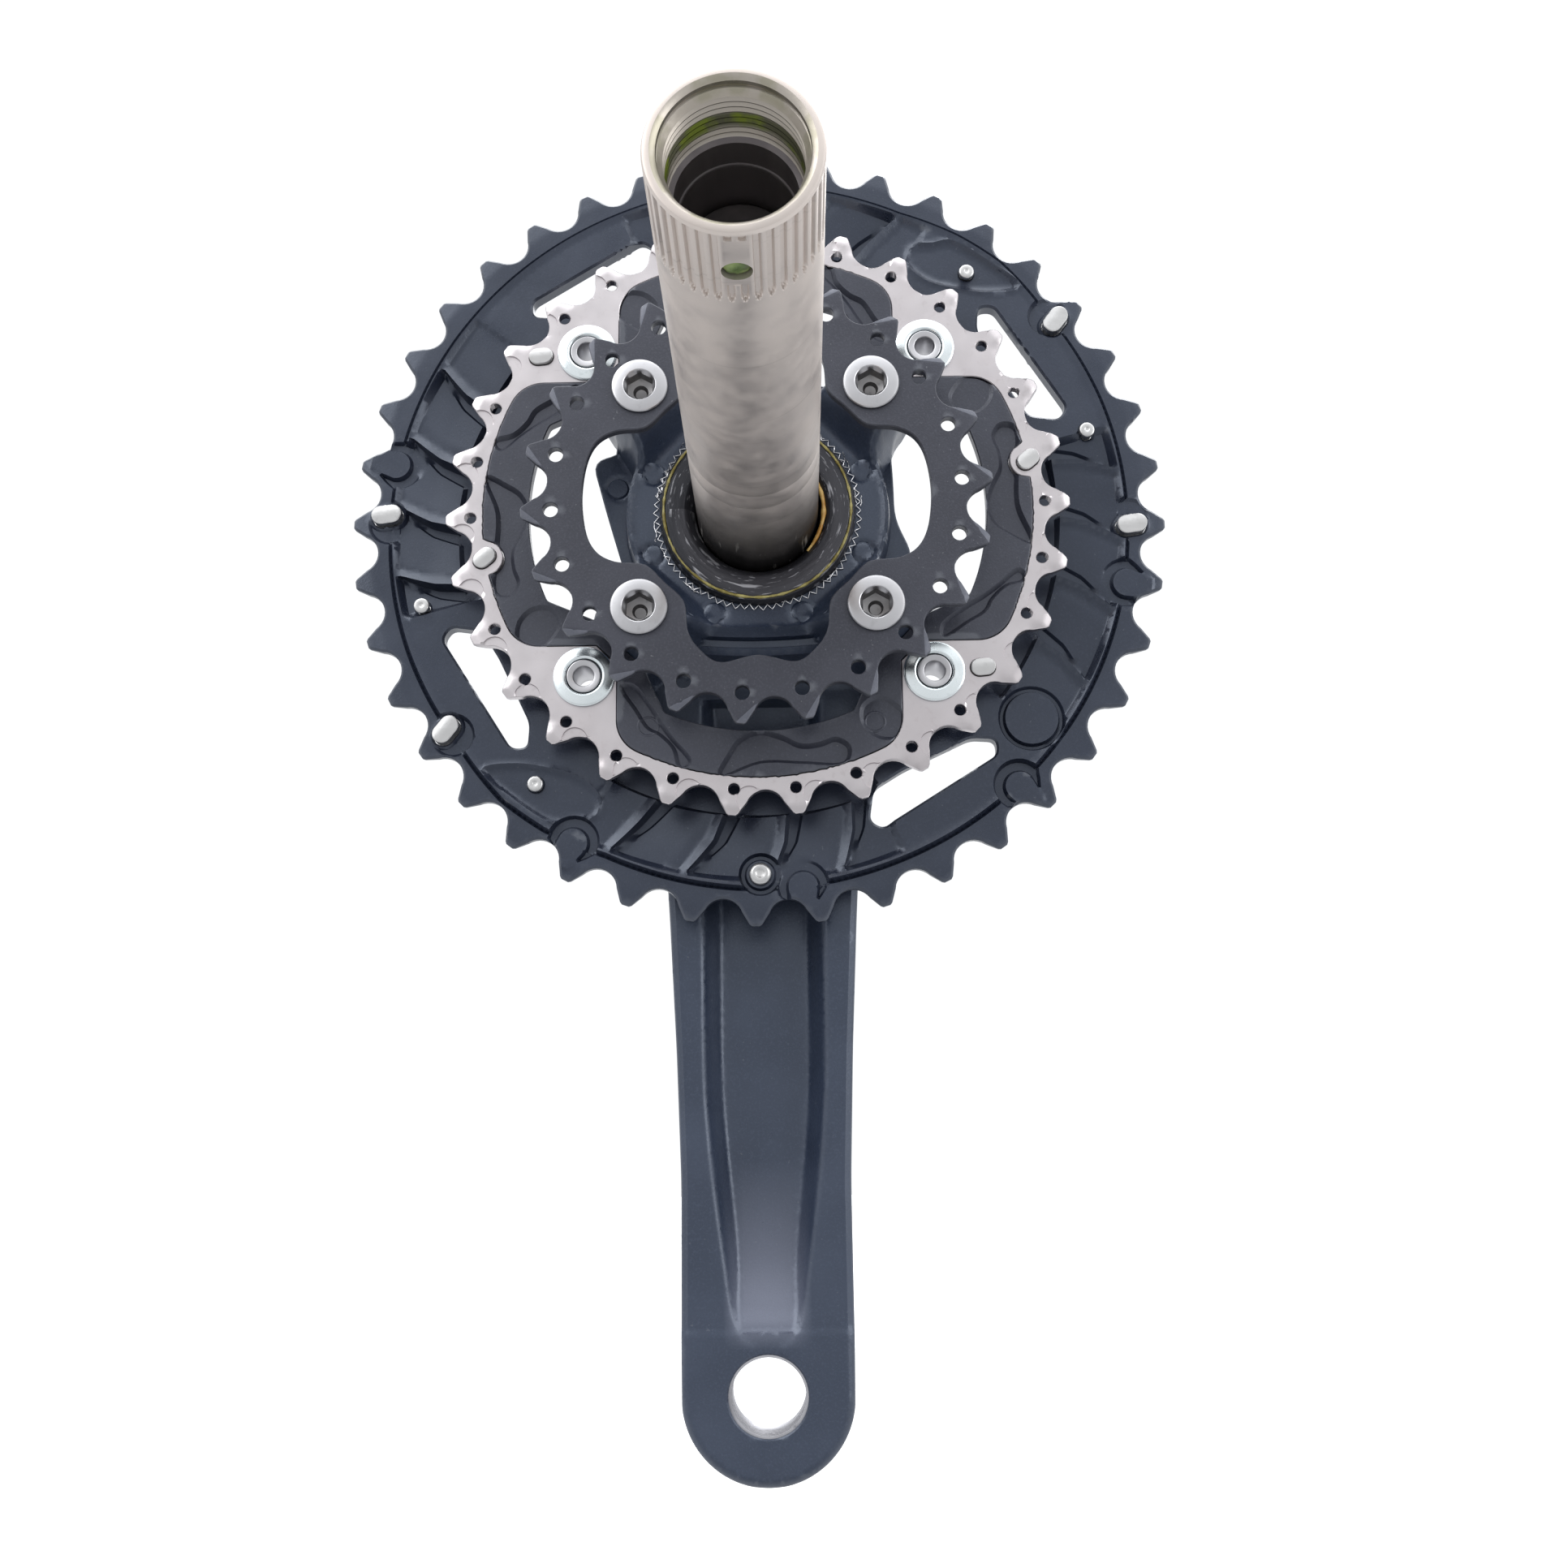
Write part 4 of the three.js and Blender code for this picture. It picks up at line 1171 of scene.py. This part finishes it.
def lumps(angle, low, high, values):
    """Values spread evenly between two angles, joined by straight lines."""
    return np.interp(angle, np.linspace(low, high, len(values)), values)


def collar(mats, random):
    profile = [(12.25, 53.45), (12.25, 51.6), (12.9, 50.2), (13.9, 49.0), (14.4, 48.6), (16.2, 48.55),
               (18.0, 48.6), (18.25, 48.8), (18.75, 48.8), (18.95, 48.75), (19.25, 49.4), (19.45, 50.6),
               (19.6, 53.45)]
    ring = turned("press_collar_turned", profile, 160, [mats["collar"]], chamfer=0.1)
    place(ring, "collar_steel", "press_collar")
    count = SERRATIONS * 6
    angle = np.linspace(0, 360, count, endpoint=False)
    wave = np.abs((angle * SERRATIONS / 360) % 1 * 2 - 1)
    drift = lumps(angle, 0, 360, np.append(random.normal(0, 0.12, 60), 0))
    path = upright(19.55 + 1.0 * wave + drift, angle, 50.55 + 0.25 * wave + drift * 0.5)
    burr = tube("collar_burr", path, random.uniform(0.07, 0.15, count), 6, [mats["raw"]], closed=True)
    place(burr, "collar_steel")
    for number in range(26):
        start = random.uniform(0, 360)
        turns = np.linspace(0, random.uniform(4, 12), 10)
        radius = 19.6 + random.uniform(-0.2, 1.1) + np.cumsum(random.normal(0, 0.1, 10))
        lift = np.minimum(50.6 + np.cumsum(random.normal(0, 0.12, 10)), 50.9)
        chip = tube(f"collar_shaving_{number + 1}", upright(radius, start + turns, lift),
                    random.uniform(0.05, 0.1), 5, [mats["raw"]])
        place(chip, "collar_steel")


def old_grease(mats, random):
    angle = np.linspace(0, 360, 360, endpoint=False)
    lump = lumps(angle, 0, 360, np.append(random.uniform(0.16, 0.34, 120), 0.2))
    ring = tube("grease_ring", upright(18.5, angle, 48.72), lump, 8, [mats["yellow"]], closed=True)
    place(ring, "collar_steel")
    angle = np.linspace(-42, 34, 60)
    ends = np.sin(np.linspace(0.1, math.pi - 0.1, 60)) ** 0.4
    lump = lumps(angle, -42, 34, random.uniform(0.3, 0.6, 13)) * ends
    streak = tube("grease_streak", upright(13.1, angle, 49.3 + 0.3 * np.sin(angle / 9)), lump, 8,
                  [mats["orange"]])
    place(streak, "collar_steel")
    rows = []
    around = np.arange(24) * 2 * math.pi / 24
    for share, depth in ((0, 0.35), (0.4, 0.3), (0.75, 0.12), (0.97, -0.25), (0.97, -1.6), (0, -1.6)):
        wobble = 1 + random.normal(0, 0.03, 24)
        x = 2.1 * share * np.cos(around) * wobble
        y = CROSS_HOLE_Y + 2.1 * share * np.sin(around) * wobble
        rows.append(np.stack([x, y, np.full(24, -11.2 - depth) + random.normal(0, 0.04, 24)], -1))
    plug = skin("grease_in_cross_hole", rows, [mats["green"]], wrap=False, sharp=60)
    place(plug, "spindle_steel")


# ---------------------------------------------------------------- arm and spider

ARM_EDGE = ((24.5, 4), (24.5, 18), (21.5, 36), (19.6, 60), (18.4, 80), (17.2, 105), (16.4, 130), (16.5, 160))
ARM_FRONT = ((-26, 56.5), (-34, 60), (-50, 62.8), (-84, 63.6), (-125, 65.6), (-154, 67), (-190, 67))
ARM_BACK = ((30, 71.5), (-17, 71.5), (-36, 74), (-66, 76.8), (-110, 79.6), (-152, 81.15), (-190, 81.15))
PEDAL = (0.0, -ARM_LENGTH)
PEDAL_PITCH = 1.27          # of the pedal thread, 20 to the inch
SHELF_BOW = 0.004
TAB_END = 55.5


def arm_outline():
    """Outline of arm, hub web and spider arms together, anticlockwise from the arm's right flank."""
    def tab(angle):
        """One spider arm; on the side that meets the crank arm it has no root of its own."""
        end = arc(6.9, -62, 62, 10, (48, 0))
        points = [(30, -8.2), (40, -7.2), *end, (40, 7.2), (30, 8.2)]
        first, last = (1 if angle == 315 else 0), (-1 if angle == 225 else None)
        return [tuple(p) for p in turn(points[first:last], angle)]

    points = [(x, -drop) for x, drop in ARM_EDGE[::-1] if drop > 30]
    points += tab(315)
    points += [(31.1, -7.7), (27.5, 0.4), (27.4, 8.5)]
    points += tab(45)
    points += [(14, 29.5), (0, 28.4), (-14, 29.5)]
    points += tab(135)
    points += [(-33.6, 13.6), (-30.4, 1.6), (-26.9, -10.4)]
    points += tab(225)
    points += [(-x, -drop) for x, drop in ARM_EDGE if drop > 30]
    eye = arc(PEDAL_EYE, 180, 360, 24, PEDAL)[1:-1]
    points += [tuple(p) for p in eye]
    return rounded(points, 3.0, 4)


SHELF_STEPS = ((23.4, 23.9, 25.6, 25.9, 27.1, 27.5, 28.9, 29.8, 31.0),
               (51.0, 50.7, 52.0, 53.6, 53.8, 52.9, 53.5, 57.0, 57.2))
TAB_HALF = ((18, 30, 40, 48), (11.5, 8.4, 7.4, 6.9))
CHANNEL_LIP = smooth_path([(50, 12.8), (80, 12.8), (108, 12.7), (122, 11.9), (134, 10.6), (146, 9.0),
                           (154, 7.8), (159, 6.0), (161, 3.4)]).T
CHANNEL_DEPTH = smooth_path([(36, 4), (60, 6.6), (90, 6.6), (118, 6.4), (134, 5.9), (145, 4.6), (153, 2.4),
                             (158, 0.8), (161, 0.0), (190, 0.0)]).T


def arm_edge(x, z):
    """Distance in from the arm's flanks and its round end."""
    halves, drops = np.transpose(ARM_EDGE)
    flank = np.interp(-z, drops, halves) - np.abs(x)
    return np.where(z < -ARM_LENGTH, PEDAL_EYE - np.hypot(x, z + ARM_LENGTH), flank)


def spider_axes(x, z, angle):
    """Distance out along a spider arm, and to the side of its middle."""
    c, s = math.cos(math.radians(angle)), math.sin(math.radians(angle))
    return x * c + z * s, np.abs(-x * s + z * c)


def round_over(share):
    """1 at an edge, falling to 0 along a quarter circle."""
    return 1 - np.sqrt(np.clip(1 - (1 - share) ** 2, 0, 1))


def arm_front(x, z):
    height = np.where(z < -26, np.interp(z, *np.transpose(ARM_FRONT[::-1])), 56.0)
    height = np.where(z > -30, np.minimum(height, 57.5), height)
    height = height + np.where(z < -40, 1.1 * ramp(arm_edge(x, z), 1.3, 0.0), 0)
    into = np.interp(-z, *CHANNEL_LIP) - np.abs(x)
    wall = 5.4 * ease(into, 0.2, 4.6) + 1.4 * ease(into, 1.5, 7.0)
    channel = soft_min(wall, np.interp(-z, *CHANNEL_DEPTH), 1.3)
    height = height + np.where(z < -36, channel, 0)
    r = np.hypot(x, z)
    pad = 51.0 - 0.45 * ramp(np.abs(r - 25.3), 0.9, 0.1)
    height = toward(height, pad, ease(r, 26.7, 26.0))
    shelf = np.interp(-z + SHELF_BOW * x * x, *SHELF_STEPS)
    height = toward(height, shelf, ramp(-np.abs(x), -18, -15) * ((z < -22.8) & (z > -31)))
    for angle in SPIDER_ANGLES:
        u, v = spider_axes(x, z, angle)
        half = np.interp(u, *TAB_HALF)
        tab = 52 + 0.6 * ramp(v, half - 1.4, half)
        height = height + np.minimum(tab - height, 0) * (ease(v, half + 1.2, half - 0.2) * ramp(u, 20, 24))
        half = np.interp(u, (18, 24, 28, 38), (9.5, 7.6, 6.4, 5.8))
        post = ease(u, 21.5, 27.5) * ease(-u, -39.4, -37.2) * ease(v, half + 3.4, half - 0.4)
        height = height + np.minimum(43.8 - height, 0) * post
    return height


def arm_back(x, z):
    edge = arm_edge(x, z)
    crown = np.interp(-z, (20, 40, 150, 170), (2.0, 4.5, 3.4, 1.8))
    arm = np.interp(z, *np.transpose(ARM_BACK[::-1])) - crown * round_over(ramp(edge, 0, 9.0))
    height = np.full(len(x), 60.5)
    height = toward(height, arm, ease(-z, 17, 27) * ramp(edge, -2.2, 0.0))
    r = np.hypot(x, z)
    hub = 71.4 - 1.6 * round_over(ramp(r, 25.5, 21.0))
    height = height + np.maximum(hub - height, 0) * ease(r, 27.0, 25.3)
    for angle in SPIDER_ANGLES:
        u, v = spider_axes(x, z, angle)
        half = np.interp(u, *TAB_HALF)
        top = np.interp(u, (18, 26, 33, 38, 41), (67.5, 65, 61.4, 56.6, TAB_END))
        drop = np.interp(u, (18, 34, 41), (2.2, 1.4, 0.2)) * ramp(v, half - 4, half) ** 2
        share = ease(v, half + 3.5, half - 0.3) * ramp(u, 16, 22)
        height = height + np.maximum(top - drop - height, 0) * share
        outer = (u > 34) & (v < half + 1) & (edge < 0)
        height = np.where(outer, np.minimum(height, np.maximum(top, TAB_END)), height)
    return height


def arm_creases():
    """Creases round the hub pad, across the shelf, along channel, flanks and spider arms."""
    lines = [(circle(radius, 120), True) for radius in (24.4, 25.3, 26.0, 26.7)]
    across = np.linspace(-15, 15, 31)
    lines += [(np.stack([across, SHELF_BOW * across ** 2 - drop], -1), False) for drop in SHELF_STEPS[0]]
    for sign in (-1, 1):
        for inset in (0.2, 0.9, 1.7, 2.5, 3.4, 4.6, 5.8):
            lip = [(sign * max(half - inset, 0.4), -drop) for drop, half in CHANNEL_LIP.T[:-6]]
            lines.append(crease(*lip))
        for inset in (1.3, 0.45):
            lines.append(crease(*((sign * (half - inset), -drop) for half, drop in ARM_EDGE[2:])))
    lines.append((arc(15.2, 180, 360, 40, PEDAL), False))
    for angle in SPIDER_ANGLES:
        for sign in (-1, 1):
            for shift in (-0.3, 1.6, 3.5):
                side = [(u, sign * (half + shift)) for u, half in zip(*TAB_HALF)][:3]
                lines.append((turn(side, angle), False))
    for sign in (-1, 1):
        for shift in (-1.5, 0.0, 1.1, 2.2):
            lines.append(crease(*((sign * (half + shift), -drop)
                                  for half, drop in ((24.5, 17), (22.7, 27), (21.5, 36)))))
    return lines


def crank_arm(mats):
    ejector = [polar(22.4, 22.5 + 45 * k) for k in range(8)]
    wing = polar(29.3, 165)
    rims = [Step(circle(2.25, 28, c), 0.12, 0.32) for c in ejector]
    rims.append(Step(circle(2.2, 28, wing), 0.1, 0.32))
    cores = [Step(circle(1.75, 28, c), 0.12, -0.3) for c in ejector]
    cores.append(Step(circle(1.95, 28, wing), 0.1, -0.3))
    lines = [(step.lines[0], True) for step in rims + cores] + arm_creases()
    loops = [arm_outline(), circle(12.4, 60)]
    loops += bolt_holes(OUTER_BOLTS, 5.2, 32) + bolt_holes(INNER_BOLTS, 4.1, 28)
    loops.append(circle(7.6, 56, PEDAL))
    body = relief("crank_arm_forging", loops, lambda x, z: raised(arm_front(x, z), rims + cores, x, z),
                  arm_back, [mats["arm"]], 0.75, lines, 0.3, sharp=40)
    place(body, "arm_paint", "crank_arm")
    thread = [(7.12, 67.5)]
    y = 67.9
    while y < 80.3:
        thread += [(7.12, y), (7.35, y + 0.35), (7.35, y + 0.5), (7.12, y + 0.85)]
        y += PEDAL_PITCH
    thread += [(7.12, 80.7), (7.62, 80.7), (7.62, 67.5)]
    place(turned("pedal_thread", thread, 56, [mats["cut"]], PEDAL, 0), "arm_paint")
    disc = [(0, 71.2), (6.0, 71.2), (6.6, 71.75), (13.6, 71.75), (14.6, 71.3), (14.7, 69.1), (0, 69.1)]
    cap = turned("hub_cap_disc", disc, 72, [mats["plastic"]], chamfer=0.2)
    place(cap, "dark_plastic", "hub_cap")


# ---------------------------------------------------------------- stage, light and camera

def add_camera():
    data = bpy.data.cameras.new("camera")
    data.sensor_width = 36
    data.lens = 38.83
    data.shift_x = 0.0007
    data.shift_y = 0.0341
    data.clip_start = 0.01
    camera = bpy.data.objects.new("camera", data)
    camera.location = (0.00682, -0.26552, -0.12924)
    camera.rotation_euler = [math.radians(a) for a in (101.316, 0.726, 0.621)]
    bpy.context.scene.collection.objects.link(camera)
    bpy.context.scene.camera = camera


def add_area_light(name, location, target, size, power):
    data = bpy.data.lights.new(name, "AREA")
    data.shape = "RECTANGLE"
    data.size, data.size_y = size
    data.energy = power
    light = bpy.data.objects.new(name, data)
    light.location = location
    light.rotation_euler = (Vector(target) - Vector(location)).to_track_quat("-Z", "Y").to_euler()
    bpy.context.scene.collection.objects.link(light)


def add_world():
    """Studio surroundings: bright above, dim below, and a white backdrop behind the crankset."""
    world = bpy.data.worlds.new("studio")
    bpy.context.scene.world = world
    world.use_nodes = True
    sky = Nodes(world.node_tree)
    background = next(n for n in sky.tree.nodes if n.type == "BACKGROUND").inputs
    place = sky.node("ShaderNodeTexCoord")
    split = sky.node("ShaderNodeSeparateXYZ")
    sky.link(place.outputs["Generated"], split.inputs[0])
    rise = sky.band(split.outputs["Z"], 0, 1, 0, 1.3)
    square = sky.math("MULTIPLY", rise, rise)
    above = sky.math("MULTIPLY", square, square)
    vertical = sky.math("ADD", above, sky.band(split.outputs["Z"], -1, 0, 0.5, 0.85))
    total = sky.math("MAXIMUM", vertical, sky.band(split.outputs["Y"], -0.7, 0.12, 0.6, 1.05))
    sky.link(total, background["Strength"])
    background["Color"].default_value = (0.975, 0.985, 1.0, 1)


def add_stage():
    floor_paint = Paint("floor_pale", (0.93, 0.93, 0.93), 0.8)
    floor_paint.stain((0.9, 0.9, 0.9), floor_paint.noise(3, 3), 0.4, 0.7, 0.3)
    floor_paint.bump(floor_paint.noise(40, 3), 0.05, 0.001)
    material = floor_paint.done()
    size, height = 60.0, -0.8
    corners = [(-size, -size, height), (size, -size, height), (size, size, height), (-size, size, height)]
    mesh = bpy.data.meshes.new("floor")
    mesh.from_pydata(corners, [], [(0, 1, 2, 3)])
    mesh.materials.append(material)
    floor = bpy.data.objects.new("floor", mesh)
    bpy.context.scene.collection.objects.link(floor)
    # The floor is seen but adds no light of its own, so the underside stays in gentle shade.
    floor.visible_diffuse = False
    floor.visible_glossy = False


def build():
    scene = bpy.context.scene
    scene.view_settings.view_transform = "Standard"
    add_camera()
    add_world()
    add_stage()
    add_area_light("key", (-0.9, -0.6, 0.7), (0, 0.05, 0), (1.0, 1.0), 7)
    add_area_light("fill", (0.9, -0.4, 0.2), (0, 0.05, -0.05), (0.6, 0.8), 4)
    add_area_light("rim", (0.3, 0.9, 0.8), (0, 0.05, 0), (0.8, 0.8), 6)
    mats = build_materials()
    random = np.random.default_rng(7)
    seam = lobe_edge(random)
    outer_chainring(mats)
    middle_chainring(mats, seam)
    ring_carrier(mats, seam)
    inner_chainring(mats)
    ring_pins(mats)
    fasteners(mats)
    spindle(mats)
    collar(mats, random)
    old_grease(mats, random)
    crank_arm(mats)


build()
